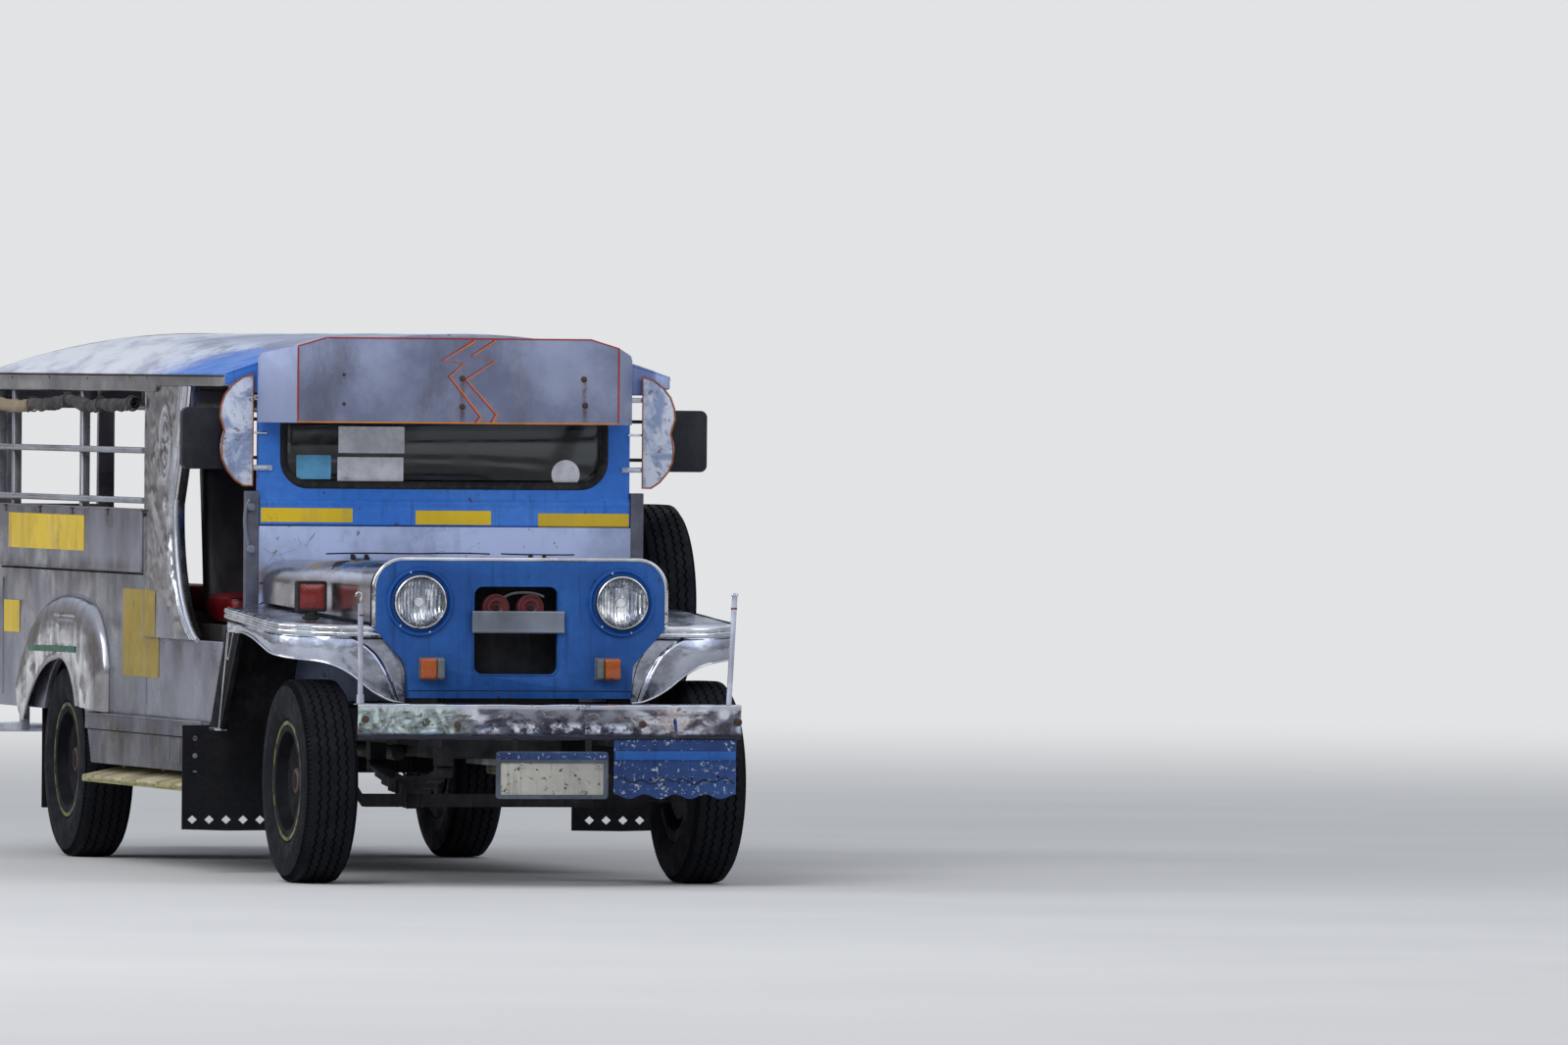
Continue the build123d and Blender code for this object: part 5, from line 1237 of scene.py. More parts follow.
def make_fenders():
    # The fender's inner faces keep the near-black finish as painted shade in the wheel wells.
    shell = dressed("front_fenders", "well_black", "bare_metal", width=0.002, name="fender_inner")
    faces_in(shell, "fender_steel", lambda f: f.normal.z > 0.9 and f.center.z > 0.85)
    faces_in(shell, "leg_steel",
             lambda f: abs(f.normal.x) > 0.3 and abs(f.center.x) > 0.79 and f.center.y > 0.5 + AXLE_Y)
    faces_in(shell, "fender_steel", lambda f: f.normal.y < -0.8 and f.center.y < -0.12 + AXLE_Y)
    skin = sheet(190, 44, skin_shape, (-1, -0.4, 0), 2.2, 26)
    pieces = {"fender_skin": (both(skin), "fender_steel")}
    band = sheet(110, 30, band_shape, (-1, -0.4, 0), 2.5, 26)
    pieces["fender_band"] = (both(band), "band_chrome")
    lip = [on_fender(s, lip_at(s), 3.5 + bulge(s, lip_at(s) + 6)) for s in range(4, 1060, 22)]
    pieces["fender_lip"] = (both(bead(lip, 3.4)), "chrome")
    seam = [on_fender(s, z, 2.6) for z, s in FENDER_SEAM[:-1]]
    pieces["fender_seam"] = (both(bead(seam, 1.9)), "well_black")
    gap = [on_fender(s, fender_crown(fender_line(s)[0][1]) - 41, 8) for s in range(6, 1172, 40)]
    pieces["fender_gap"] = (both(bead(gap, 2.6)), "well_black")
    mark = [(-801.5, y, z) for y, z in ((604, 858), (664, 862), (708, 748), (690, 744), (676, 752), (610, 846))]
    pieces["leg_mark"] = (both(bead(mark, 3.0, 0.6, "X", -801, True, False)), "chrome")
    foot = block(at(-803, 806, 497), at(-772, 958, 507), 0.003)
    edge = bead([(-801, 812, 506), (-801, 700, 800), (-801, 695, 836)], 3.2)
    pieces["leg_foot"] = (both(joined([foot, edge])), "chrome")
    for name, (piece, finish) in pieces.items():
        placed(piece, name, finish, "polished_panel")


def lip_at(s):
    """Height of the lower edge, smoothed over a short stretch."""
    return sum(along_table(FENDER_LIP, s + shift) for shift in (-18, -9, 0, 9, 18)) / 5


def bulge(s, z):
    """How far the domed part stands out at that place."""
    beyond = s - along_table(FENDER_SEAM, z)
    lip, top = lip_at(s), fender_crown(fender_line(s)[0][1]) - 34
    height = min(1.0, max(0.0, (z - lip) / max(20.0, top - lip)))
    dome = 4.5 + 7.5 * sin(pi * height) ** 0.8
    return ease(beyond, -2, 16) * dome * (1 - 0.75 * ease(s, 820, 1000))


def skin_shape(u, v):
    """Point of the fender's side; u along its plan, v from the lip up to the band."""
    s = FENDER_END * u
    lip, top = lip_at(s), fender_crown(fender_line(s)[0][1]) - 24
    z = lip + (top - lip) * v
    off = 2.0 + bulge(s, z)
    calm = ease(z, lip, lip + 20)
    off += calm * (dent((s, z * 1.3, 4), 120, 2.4) + dent((s, z, 7), 42, 1.3) + dent((s, z, 2), 17, 0.45))
    return on_fender(s, z, max(1.2, off))


def band_shape(u, v):
    """Point of the bright band with its two beads, v from the top edge down."""
    s = FENDER_END * u
    crown = fender_crown(fender_line(s)[0][1])
    drop = -3 + 43 * v
    off = 6.5 * ease(drop, -3, 1) + 3
    for middle in (9, 27):
        off += 6.0 * sqrt(max(0.0, 1 - ((drop - middle) / 8.5) ** 2))
    off -= 6 * ease(drop, 35, 40)
    off += dent((s, 3, 1), 90, 0.8)
    return on_fender(s, crown + 1 - drop + dent((s, 1, 6), 160, 1.2), off)


def make_cowl():
    cowl = dressed("cowl", "cowl_paint", "pale_blue", width=0.010, segments=4)
    # The cowl's low faces under the hood get the near-black finish as painted shade.
    faces_in(cowl, "well_black", lambda f: f.center.z < 0.83 and f.normal.y < 0.5)
    lines = {
        "cowl_crack_side": [(-664, 809, 1003), (-640, 809, 1012), (-610, 809, 1006),
                            (-585, 809, 1026), (-575, 809, 1052)],
        "cowl_joint_top": [(-430, 809, 1106), (-300, 809, 1110), (-120, 809, 1107), (60, 809, 1112), (150, 809, 1108)],
        "cowl_joint_left": [(190, 809, 1109), (330, 809, 1105), (450, 809, 1107)],
        "cowl_slit": [(-664, 809, 930), (-640, 809, 944), (-612, 809, 960)],
    }
    for name, points in lines.items():
        placed(bead(points, 2.2, 0.5, "Y", 809.6), name, "well_black", "pale_blue")
    hook = [(-700, 806, 1290), (-716, 803, 1262), (-719, 802, 1210), (-712, 803, 1160), (-700, 806, 1118)]
    strap = bead(hook, 7.0, 0.6, "Y", 806)
    pegs = [disc(at(-696, 803, z), 0.014, 0.02, "Y", 20, 0.005) for z in (1265, 1121)]
    placed(joined([strap, *pegs]), "door_hinge_right", "post_grey", "bare_metal")


class JEEPNEY_OT_front_body(bpy.types.Operator):
    """Hood, cowl, domed front fenders with their bright bands, and steering wheel"""

    bl_idname = "jeepney.front_body"
    bl_label = "Hood, cowl and front fenders"

    def execute(self, context):
        make_hood()
        make_fenders()
        make_cowl()
        dressed("steering_wheel", "black_plastic", "black_plastic", width=0.002)
        return {"FINISHED"}


# Glass opening of the windshield frame
GLASS = (-580, 560, 1340, 1625, 90)
ZIGZAG = ((33, 1842), (-80, 1773), (-4, 1763), (-56, 1718), (56, 1580), (40, 1559))
ZIGZAG_2 = ((106, 1843), (23, 1789), (107, 1774), (3, 1708), (111, 1588), (95, 1560))


def make_frame_trim():
    a0, a1, b0, b1, radius = GLASS
    seal = [(x, 823, z) for x, z in rounded_loop(a0 + 1, a1 - 1, b0 + 1, b1 - 1, radius - 2, 8)]
    placed(bead(seal, 12.0, 0.45, "Y", 824, True), "windshield_seal", "seal_black", "black_plastic")
    inner = [(x, 826, z) for x, z in rounded_loop(a0 + 12, a1 - 12, b0 + 12, b1 - 12, radius - 12, 8)]
    placed(bead(inner, 4.0, 1.0, "Y", 826, True), "windshield_seal_inner", "seal_black", "black_plastic")
    rail = sheet(140, 22, rail_shape, (0, -1, 0), 2.0, 35)
    placed(rail, "windshield_rail", "frame_blue", "shell_blue")
    joint = bead([(-662, 819, 1200), (-300, 818.5, 1198), (0, 818.5, 1199), (300, 818.5, 1196), (648, 819, 1197)], 3.0)
    placed(joint, "windshield_joint", "well_black", "black_steel")
    for name, x0, x1, z0, z1, finish in (("right", -659, -335, 1214, 1262, "yellow_sign"),
                                         ("middle", -112, 155, 1208, 1256, "yellow_sign"),
                                         ("left", 322, 645, 1202, 1249, "yellow_stained_edge")):
        patch = sheet(60, 12, lambda u, v: (x0 + (x1 - x0) * u, rail_shape(0.5, (z0 + (z1 - z0) * v - 1200) / 100)[1]
                                            - 0.9, z0 + (z1 - z0) * v), (0, -1, 0), 0.6)
        placed(patch, "frame_patch_" + name, finish, "plate_white")
    cards = {"card_blue": (rounded_loop(-529, -407, 1361, 1444, 4, 3), "card_blue"),
             "card_white_upper": (rounded_loop(-381, -148, 1452, 1543, 3, 3), "card_white"),
             "card_white_lower": (rounded_loop(-384, -151, 1342, 1438, 3, 3), "card_white"),
             "card_round": (circle(425, 1383, 50, 40), "card_white")}
    for name, (loop, finish) in cards.items():
        placed(plate(loop, (), 0.8, "Y", 841.2, 0.1), name, finish, "plate_white")


def rail_shape(u, v):
    """Lower rail of the frame: a flat raised strip with a rounded upper edge."""
    x, z = -662 + 1310 * u, 1201 + 99 * v
    out = 7.5 * ease(z, 1200, 1207) * (1 - ease(z, 1283, 1299)) + 3.0 * groove(z - 1281, 7)
    return x, 825 - out + dent((x, z, 2), 160, 0.7), z


def make_visor():
    dressed("visor_board", "visor_grey", "board_grey", width=0.002)
    lines = {
        "visor_line_top": ([(-583, 1563), (-583, 1818), (-484, 1847), (449, 1847), (548, 1818), (548, 1563)],
                           "line_red"),
        "visor_line_low": ([(-583, 1558), (548, 1558)], "line_orange"),
        "zigzag_red": (ZIGZAG, "line_red"),
        "zigzag_orange": ([(x + 9, z - 2) for x, z in ZIGZAG], "line_orange"),
        "zigzag_2_red": (ZIGZAG_2, "line_red"),
        "zigzag_2_orange": ([(x + 9, z - 2) for x, z in ZIGZAG_2], "line_orange"),
    }
    for name, (points, finish) in lines.items():
        piece = bead([(x, 599.6, z) for x, z in points], 2.6, 0.25, "Y", 599.6, False, False)
        placed(piece, name, finish, "board_grey")
    for k, (x, z) in enumerate(((-5, 1711), (-5, 1614), (425, 1711), (430, 1621), (-423, 1721), (-422, 1621))):
        small = k > 3
        washer = disc(at(x, 599, z), 0.006 if small else 0.0105, 0.003, "Y", 24)
        head = disc(at(x, 597, z), 0.004 if small else 0.007, 0.006, "Y", 6, 0.0012)
        placed(joined([washer, head]), f"visor_bolt_{k}", "bolt_rust", "board_grey")
    for x, tail in ((-585, "right"), (550, "left")):
        way = -1 if x < 0 else 1
        fold = bead([(x + way * 1, 600, 1559), (x + way * 1, 600, 1816)], 1.6)
        placed(fold, "visor_fold_" + tail, "rust_edge", "board_grey")


def make_wings():
    dressed("wing_plates", "pale_blue", "pale_blue", width=0.001)
    lower = [(722, 1338), (752, 1358), (781, 1392), (799, 1432), (800, 1470), (796, 1505), (790, 1524)]
    upper = [(796, 1545), (806, 1575), (803, 1612), (789, 1650), (762, 1684), (728, 1709), (694, 1719)]
    loop = [(690, 1338), *lower, *upper, (690, 1719)]
    edge = bead([(-x, 811.6, z) for x, z in loop], 3.2, 0.45, "Y", 811.8, True, False)
    paired(edge, "wing_edges", "rust_edge", "pale_blue")
    pins = [block(at(side * 640, 816, z - 4), at(side * 700, 824, z + 4), 0.002)
            for side in (-1, 1) for z in (1400, 1640, 1520)]
    placed(joined(pins), "wing_pins", "chrome", "chrome")


class JEEPNEY_OT_windshield(bpy.types.Operator):
    """Windshield frame, glass, visor board, wing plates and mirrors"""

    bl_idname = "jeepney.windshield"
    bl_label = "Windshield and visor"

    def execute(self, context):
        dressed("windshield_frame", "frame_blue", "shell_blue", width=0.006, segments=3)
        dressed("windshield_glass", "windshield", "glass", width=0.001)
        make_frame_trim()
        make_visor()
        make_wings()
        dressed("mirrors", "black_plastic", "black_plastic", width=0.007, segments=3)
        for side, tail in SIDES:
            face = sheet(20, 20, lambda u, v: (side * (747 + 171 * u), 889.5 - 2.5 * (2 * u - 1) ** 2, 1406 + 188 * v),
                         (0, 1, 0), 0.6)
            placed(face, f"mirror_face_{tail}", "mirror_glass", "black_plastic")
        return {"FINISHED"}


def arc(start, middle, end, steps):
    """Points along the circle through three points."""
    (ax, ay), (bx, by), (cx, cy) = start, middle, end
    scale = 2 * (ax * (by - cy) + bx * (cy - ay) + cx * (ay - by))
    a2, b2, c2 = ax * ax + ay * ay, bx * bx + by * by, cx * cx + cy * cy
    ux = (a2 * (by - cy) + b2 * (cy - ay) + c2 * (ay - by)) / scale
    uy = (a2 * (cx - bx) + b2 * (ax - cx) + c2 * (bx - ax)) / scale
    radius = hypot(ax - ux, ay - uy)
    first, half, last = (atan2(y - uy, x - ux) for x, y in (start, middle, end))
    turn = (last - first) % (2 * pi)
    if (half - first) % (2 * pi) > turn:
        turn -= 2 * pi
    return [around(ux, uy, radius, first + turn * k / steps) for k in range(steps + 1)]


def share_of(points, share):
    """Place at a share of the way along joined points."""
    runs = [dist(a, b) for a, b in zip(points, points[1:])]
    left = share * sum(runs)
    for (a, b), run in zip(zip(points, points[1:]), runs):
        if left <= run:
            return tuple(p + (q - p) * left / run for p, q in zip(a, b))
        left -= run
    return points[-1]


# Door edge of the pillar panels as (y, z); the rear fender's outer edge and its opening, counted from the axle
PILLAR_EDGE = arc((1250, 800), (1468, 938), (1580, 1264), 24) + arc((1580, 1264), (1495, 1415), (1380, 1677), 20)[1:]
REAR_EDGE = ([(-700, 526), (-702, 600)] + arc((-704, 676), (-610, 825), (-414, 906), 14)
             + arc((-414, 906), (-111, 926), (199, 897), 14)[1:] + arc((199, 897), (480, 802), (697, 602), 14)[1:]
             + [(660, 552), (610, 508), (561, 476)])
REAR_OPENING = ([p for p in arc((-385, 476), (-290, 640), (-40, 702), 20) if p[1] > 526]
                + arc((-40, 702), (190, 660), (470, 476), 20)[1:])
PILLAR_FOOT = ((1317, 796), (1526, 833), (1695, 915), (1780, 946), (1860, 988), (2036, 1045))
SPARE_PLACE, SPARE_ROOM = (1262, 935), 362


# Middles of the pressed oval, drop and star on a pillar panel: (y, z)
OVAL, DROP, STAR = (1722, 1476), (1612, 1046), (1716, 1262)


def make_pillars():
    """Embossed bright skin on each pillar panel, with the strip along the door edge."""
    for side, tail in SIDES:
        skin = sheet(92, 150, lambda u, v: pillar_shape(u, v, side), (side, 0, 0), 1.6, 30)
        placed(skin, f"pillar_skin_{tail}", "pillar_steel", "polished_panel")
        # The height drives the painted highlight and painted shade of the embossed finish.
        marked(skin, lambda place: (abs(place.x) * 1000 - 784) / 8)
        faces_in(skin, "side_steel",
                 lambda f: f.center.z * 1000 < along_table(PILLAR_FOOT, (f.center.y - AXLE_Y) * 1000))
        edge = [(side * 777, y - 3, z) for y, z in PILLAR_EDGE
                if side < 0 or dist((y, z), SPARE_PLACE) > SPARE_ROOM + 22]
        low = [p for p in edge if p[2] < 1290]
        if side < 0:
            placed(bead(low, 9.0), "door_strip_low_right", "strip_bright", "chrome")
            placed(bead([p for p in edge if p[2] > 1275], 7.0), "door_strip_high_right", "chrome", "chrome")
        else:
            placed(bead([p for p in edge if p[2] > 1200], 7.0), "door_strip_left", "chrome", "chrome")


def door_edge(z, side):
    """Y of the pillar panel's front edge at that height."""
    y = along_table([(p[1], p[0]) for p in PILLAR_EDGE], z)
    if side > 0 and abs(z - SPARE_PLACE[1]) < SPARE_ROOM:
        y = max(y, SPARE_PLACE[0] + sqrt(SPARE_ROOM ** 2 - (z - SPARE_PLACE[1]) ** 2))
    return y


def pillar_shape(u, v, side):
    """Point of the embossed panel: lines that follow the door edge, an oval and a drop."""
    z = 802 + 874 * v
    front = door_edge(z, side)
    y = front + (2036 - front) * u
    inside = y - along_table([(p[1], p[0]) for p in PILLAR_EDGE], z)
    out = 5.5 * groove(inside - 20, 8) + 6 * groove(inside - 52, 8) - 3 * groove(inside - 36, 6)
    out += 5 * groove(inside - 84, 9) * ease(z, 880, 1000) + 4 * groove(inside - 124, 9) * ease(z, 1300, 1380)
    across, up = y - OVAL[0], z - OVAL[1]
    ring = hypot(across / 80, up / 124)
    out += 5 * groove((ring - 1) * 95, 7) + 3.5 * groove((ring - 0.76) * 95, 6)
    if ring < 0.62:
        petals = 0.5 + 0.5 * cos(atan2(up, across * 1.55) * 8)
        out += 3.2 * petals * ease(ring, 0.1, 0.3) * (1 - ease(ring, 0.5, 0.62))
    across, up = y - DROP[0], z - DROP[1]
    drop = hypot((across - 0.12 * up) / (36 - 0.12 * up), up / 74)
    out += 5 * groove((drop - 1) * 45, 7) + 2.5 * (1 - ease(drop, 0.3, 0.9))
    across, up = y - STAR[0], z - STAR[1]
    out += 4 * (1 - ease(hypot(across, up), 12 + 10 * abs(cos(2.5 * atan2(up, across))), 34))
    out += 3 * groove(y - 2022, 7) + dent((y, z, 3), 80, 1.6) + dent((y, z, 5), 28, 0.7)
    out *= ease(u, 0, 0.01) * (1 - ease(u, 0.985, 1))
    return side * (784.0 + max(-0.8, out)), y, z


def make_side_trim():
    """Blank yellow patches, sill bolts, hems and the marks along the seams."""
    sign = sheet(90, 12, lambda u, v: (-(791.6 + 0.5 * dent((u * 9, v, 1), 1, 1)), 2930 + 1200 * u, 1090 + 125 * v),
                 (-1, 0, 0), 0.8)
    low = sheet(60, 60, low_patch_shape, (-1, 0, 0), 0.8)
    rear = sheet(24, 12, lambda u, v: (-(771.8 + 0.4 * dent((u * 3, v, 7), 1, 1)), 4030 + 250 * u, 785 + 115 * v),
                 (-1, 0, 0), 0.8)
    for name, piece, finish in (("sign_patch", sign, "yellow_sign"), ("low_patch", low, "yellow_stained"),
                                ("rear_patch", rear, "yellow_sign")):
        paired(piece, name, finish, "plate_white")
    bolts = []
    for y in (2024, 2567, 3119, 3632, 4180):
        bolts += [disc(at(-791, y, 1226), 0.0085, 0.004, "X", 8),
                  block(at(-797, y - 14, 1236), at(-790, y + 14, 1243), 0.0015)]
    paired(joined(bolts), "sill_bolts", "bolt_rust", "bare_metal")
    lines = {
        "window_sill_hem": ([(-789, y, 1244 + 0.8 * sin(y / 130)) for y in range(2044, 4420, 90)], 3.6, "fascia_steel"),
        "panel_lower_hem": ([(-785, y, 1031 + 1.5 * sin(y / 210)) for y in range(2044, 4425, 90)], 7.0, "side_steel"),
        "panel_shadow_line": ([(-770.5, y, 1018) for y in range(2044, 4425, 120)], 3.4, "well_black"),
        "front_joint_bead": ([(-788, 2046, z) for z in range(1032, 1245, 30)], 7.0, "side_steel"),
        "lower_joint_bead": ([(-770, 2052 - 0.05 * (1000 - z), z) for z in range(560, 1030, 40)], 2.2, "side_steel"),
        "rear_joint_bead": ([(-770, 4300, z) for z in range(560, 1030, 60)], 3.0, "side_steel"),
    }
    for name, (points, radius, finish) in lines.items():
        paired(bead(points, radius), name, finish, "bare_metal")


def low_patch_shape(u, v):
    """Point of the low patch, which runs over the edge of the pillar panel."""
    y, z = 1850 + 550 * u, 660 + 305 * v
    on_pillar = (1 - ease(y, 2034, 2046)) * ease(z, 797, 804)
    return -(771.8 + 13.8 * on_pillar + 0.5 * dent((u * 5, v * 3, 4), 1, 1)), y, z


def make_rear_fenders():
    dome = sheet(104, 46, rear_shape, (-1, 0, 0), 2.2, 30)
    # The height drives the painted highlight and painted shade of the embossed finish.
    marked(dome, lambda place: (abs(place.x) * 1000 - 803) / 14)
    paired(dome, "rear_fender_dome", "arch_steel", "polished_panel", ("rear_fenders",))
    lip = [(-811, REAR_AXLE + y, z) for y, z in REAR_OPENING[::2]]
    paired(bead(lip, 4.0), "rear_fender_lip", "arch_steel", "polished_panel")
    stripe = sheet(80, 8, lambda u, v: (-(815.4 + 0.5 * sin(30 * u)), 2960 + 740 * u, 729 + 22 * v - 4 * u),
                   (-1, 0, 0), 1.4)
    paired(stripe, "fender_stripe", "green_strip", "plate_white")
    hem = [(-771, REAR_AXLE + y * 1.012, WHEEL_Z + (z - WHEEL_Z) * 1.012) for y, z in REAR_EDGE[2:-3:2]]
    paired(bead(hem, 3.0), "rear_fender_hem", "side_steel", "bare_metal")


def rear_shape(u, v):
    """Point of the domed rear fender; u from its front foot over the wheel, v from the opening outwards."""
    (y0, z0), (y1, z1) = share_of(REAR_OPENING, u), share_of(REAR_EDGE, u)
    y, z = y0 + (y1 - y0) * v, z0 + (z1 - z0) * v
    rise = sqrt(max(0.0, 1 - max(0.0, (v - 0.34) / 0.66) ** 2.4))
    x = 771 + 41 * rise + 2.5 * (1 - ease(v, 0, 0.08))
    flutes = dent((y, z * 0.28, 3), 46, 5.5) + dent((y, z, 8), 85, 4.0) + dent((y, z, 1), 20, 0.8)
    panel = 3.5 * groove(max(abs(y + 150) - 150, abs(z - 800) - 50), 9)
    x += rise * ease(v, 0.02, 0.12) * (flutes - panel)
    return -min(815.0, max(771.0, x)), REAR_AXLE + y, z


def make_lower_side():
    """Sill boxes with a small door, step boards and mud flaps with cut-outs."""
    dressed("sill_boxes", "sill_steel", "bare_metal")
    door = plate(rounded_loop(1476, 1620, 370, 456, 3, 3), (), 1.6, "X", -781.4)
    frame_line = bead([(-780.6, y, z) for y, z in ((1472, 366), (1624, 366), (1624, 460), (1472, 460))], 2.0,
                      closed=True, curved=False)
    paired(joined([door, frame_line]), "sill_door", "sill_steel", "bare_metal")
    lid = bead([(-787, y, 519) for y in range(1134, 2900, 80)], 3.6)
    paired(lid, "lid_hem", "fascia_steel", "bare_metal")
    shadow = bead([(-781, y, 463) for y in range(1134, 2900, 160)], 2.0)
    paired(shadow, "lid_shadow", "well_black", "bare_metal")
    dressed("side_steps", "step_paint", "step_dirty", width=0.004)
    edge = bead([(-819, y, 290 + 2.0 * sin(y / 90)) for y in range(1194, 2805, 60)], 5.0)
    paired(edge, "step_edge", "step_edge", "step_dirty")
    dressed("rear_step", "pole_grey", "step_dirty")
    make_mud_flaps()


def make_mud_flaps():
    holes = [circle(-818, z, 9, 16) for z in (466, 406, 346)]
    holes += [[(x - 17, 186), (x, 201), (x + 17, 186), (x, 171)] for x in (-826, -766, -706, -646, -586)]
    front = plate([(-863, 152), (-863, 511), (-522, 511), (-522, 150), (-700, 148)], holes, 5.0, "Y", 1094, 0.6)
    rear = plate([(-742, 162), (-742, 579), (-602, 579), (-602, 160)], (), 5.0, "Y", 3780, 0.6)
    paired(joined([front, rear]), "mud_flap_sheets", "flap_rubber", "rubber_black", ("mud_flaps",))


class JEEPNEY_OT_sides(bpy.types.Operator):
    """Body sides, embossed door pillars, rails, rear wall and floor"""

    bl_idname = "jeepney.sides"
    bl_label = "Body sides"

    def execute(self, context):
        panels = dressed("side_panels", "side_steel", "bare_metal", width=0.004, segments=3)
        faces_in(panels, "rail_grey", lambda f: f.center.z > 1.26 and abs(f.center.x) < 0.776)
        dressed("rear_wall", "side_steel", "bare_metal")
        dressed("body_rails", "rail_grey", "chrome", width=0.002)
        dressed("floor_deck", "floor_plate", "floor_steel")
        posts = dressed("door_pillars", "pillar_plain", "polished_panel")
        faces_in(posts, "post_dark", lambda f: f.center.y < 1.0 + AXLE_Y)
        make_pillars()
        make_side_trim()
        make_rear_fenders()
        make_lower_side()
        return {"FINISHED"}


# The roof's arch, its front edge and length, and the place where it widens
ROOF_ARC_R, ROOF_TOP = 2253.7, 1865.0
ROOF_FRONT, ROOF_LENGTH, ROOF_STEP = 612, 3838, 826


def roof_shape(u, v):
    """Point of the roof; u across it, v from front to back."""
    y = ROOF_FRONT + ROOF_LENGTH * v
    if ROOF_STEP - 6 < y < ROOF_STEP + 19:
        y = ROOF_STEP - 0.2 if y < ROOF_STEP else ROOF_STEP
    inner = 96 * min(1.0, (y - ROOF_FRONT) / 176)
    side = 2 * u - 1
    half = ((559 if side < 0 else 524) + inner) if y < ROOF_STEP else 790
    x = side * half
    arch = ROOF_TOP - (ROOF_ARC_R - sqrt(ROOF_ARC_R ** 2 - x * x))
    wave = 2.6 + dent((x, y * 0.8, 3), 330, 3.2) + dent((x * 0.5, y, 7), 95, 2.0) + dent((x, y, 1), 38, 0.8)
    edge = ease(half - abs(x), 0, 40)
    return x, y, arch - max(0.2, wave) * edge - 0.3


class JEEPNEY_OT_roof(bpy.types.Operator):
    """Dented roof skin, fascias and eave gutters"""

    bl_idname = "jeepney.roof"
    bl_label = "Roof"

    def execute(self, context):
        frame_part = dressed("roof", "fascia_steel", "roof_paint", name="roof_frame")
        faces_in(frame_part, "roof_edge", lambda f: f.center.z > 1.722 and f.center.y < 0.9 + AXLE_Y)
        edit(frame_part, "FACE", lambda f: f.normal.z > 0.4 and f.calc_center_median().z > 1.7)
        bpy.ops.mesh.delete(type="FACE")
        leave()
        skin = sheet(84, 200, roof_shape, (0, 0, 1), 5.0, 30)
        placed(skin, "roof_skin", "roof_paint", "roof_paint")
        eave = [(-788, y, 1719 + 1.2 * dent((y, 1, 1), 140, 1)) for y in range(828, 4450, 60)]
        paired(bead(eave, 3.8), "roof_hem", "roof_edge", "roof_paint")
        gap = [(-789.5, y, 1712) for y in range(828, 4450, 150)]
        paired(bead(gap, 2.6), "roof_gap", "well_black", "black_steel")
        lower = [(-789, y, 1659 + 1.0 * sin(y / 170)) for y in range(1854, 4450, 90)]
        paired(bead(lower, 3.2), "fascia_hem", "fascia_steel", "bare_metal")
        front = [(-789, 1846, 1660), (-789, 1838, 1676), (-789, 1790, 1680), (-789, 1300, 1680), (-789, 850, 1680)]
        paired(bead(front, 2.6), "fascia_front_hem", "fascia_steel", "bare_metal")
        rivets = [disc(at(-790.5, y, z), 0.005, 0.003, "X", 10)
                  for y, z in ((1980, 1704), (2240, 1706), (2900, 1700), (3500, 1702), (4100, 1700))]
        paired(joined(rivets), "fascia_rivets", "bolt_rust", "bare_metal")
        return {"FINISHED"}


# Rolled side covers: middle line, number of turns and the places of their ties along the vehicle
ROLL_X, ROLL_Z, ROLL_TURNS, ROLL_IN, ROLL_OUT = 806.3, 1612.0, 2.6, 9.0, 29.0
TIE_PLACES = (2150, 2620, 3140, 3700, 4350)
ROLL_DROP = ((2110, 2), (2440, 7), (2801, 10), (3128, -6), (3500, 8), (3909, 14), (4400, 8))


def make_tarpaulins():
    for side, tail in SIDES:
        roll = sheet(60, 110, lambda u, v: roll_shape(u, v, side), (side, 0, 0), 1.6, 60)
        placed(roll, f"tarpaulin_{tail}", "canvas", "canvas", ("tarpaulin_rolls",) if side < 0 else ())
        ties = []
        for y in TIE_PLACES:
            middle = ROLL_Z + 4 - along_table(ROLL_DROP, y)
            loop = [(side * (ROLL_X - 3 + 23.5 * cos(t)), y + 5 * sin(t), middle + 27 * sin(t))
                    for t in (2 * pi * k / 10 for k in range(10))]
            ties.append(bead(loop, 3.0, closed=True))
            ties.append(block(at(side * (ROLL_X + 13), y - 9, middle - 26),
                              at(side * (ROLL_X + 23), y + 9, middle - 10), 0.004))
        placed(joined(ties), f"tarpaulin_ties_{tail}", "canvas_tie", "canvas")


def roll_shape(u, v, side):
    """Point of the wound canvas; u along the winding, v along the vehicle."""
    y = 2110 + 2290 * v
    near = min(abs(y - tie) for tie in TIE_PLACES)
    loose = ease(near, 8, 170)
    radius = ROLL_IN + (ROLL_OUT - ROLL_IN) * u
    turn = 2 * pi * ROLL_TURNS * u + 0.9 * dent((y / 260, 3, 1), 1, 1)
    radius *= 0.8 + 0.12 * loose + 0.24 * loose * dent((cos(turn), sin(turn), y / 110), 1, 1)
    radius += 4.2 * dent((2.4 * cos(turn), 2.4 * sin(turn), y / 85), 1, 1) * u * (0.4 + 0.6 * loose)
    radius += 1.2 * dent((3 * cos(turn), 3 * sin(turn), y / 26), 1, 1) * u
    drop = along_table(ROLL_DROP, y) + 6 * loose * (1 + dent((y / 90, 8, 2), 1, 1))
    z = ROLL_Z + 4 - drop + radius * sin(turn)
    return side * (ROLL_X - 3 + radius * 0.86 * cos(turn)), y, z


# Steps of the cloth run, and width and depth of the sewn channels in mm and in metres
CLOTH_STEPS = 20
SEAM_WIDTH, SEAM_DEPTH = 9, 0.007


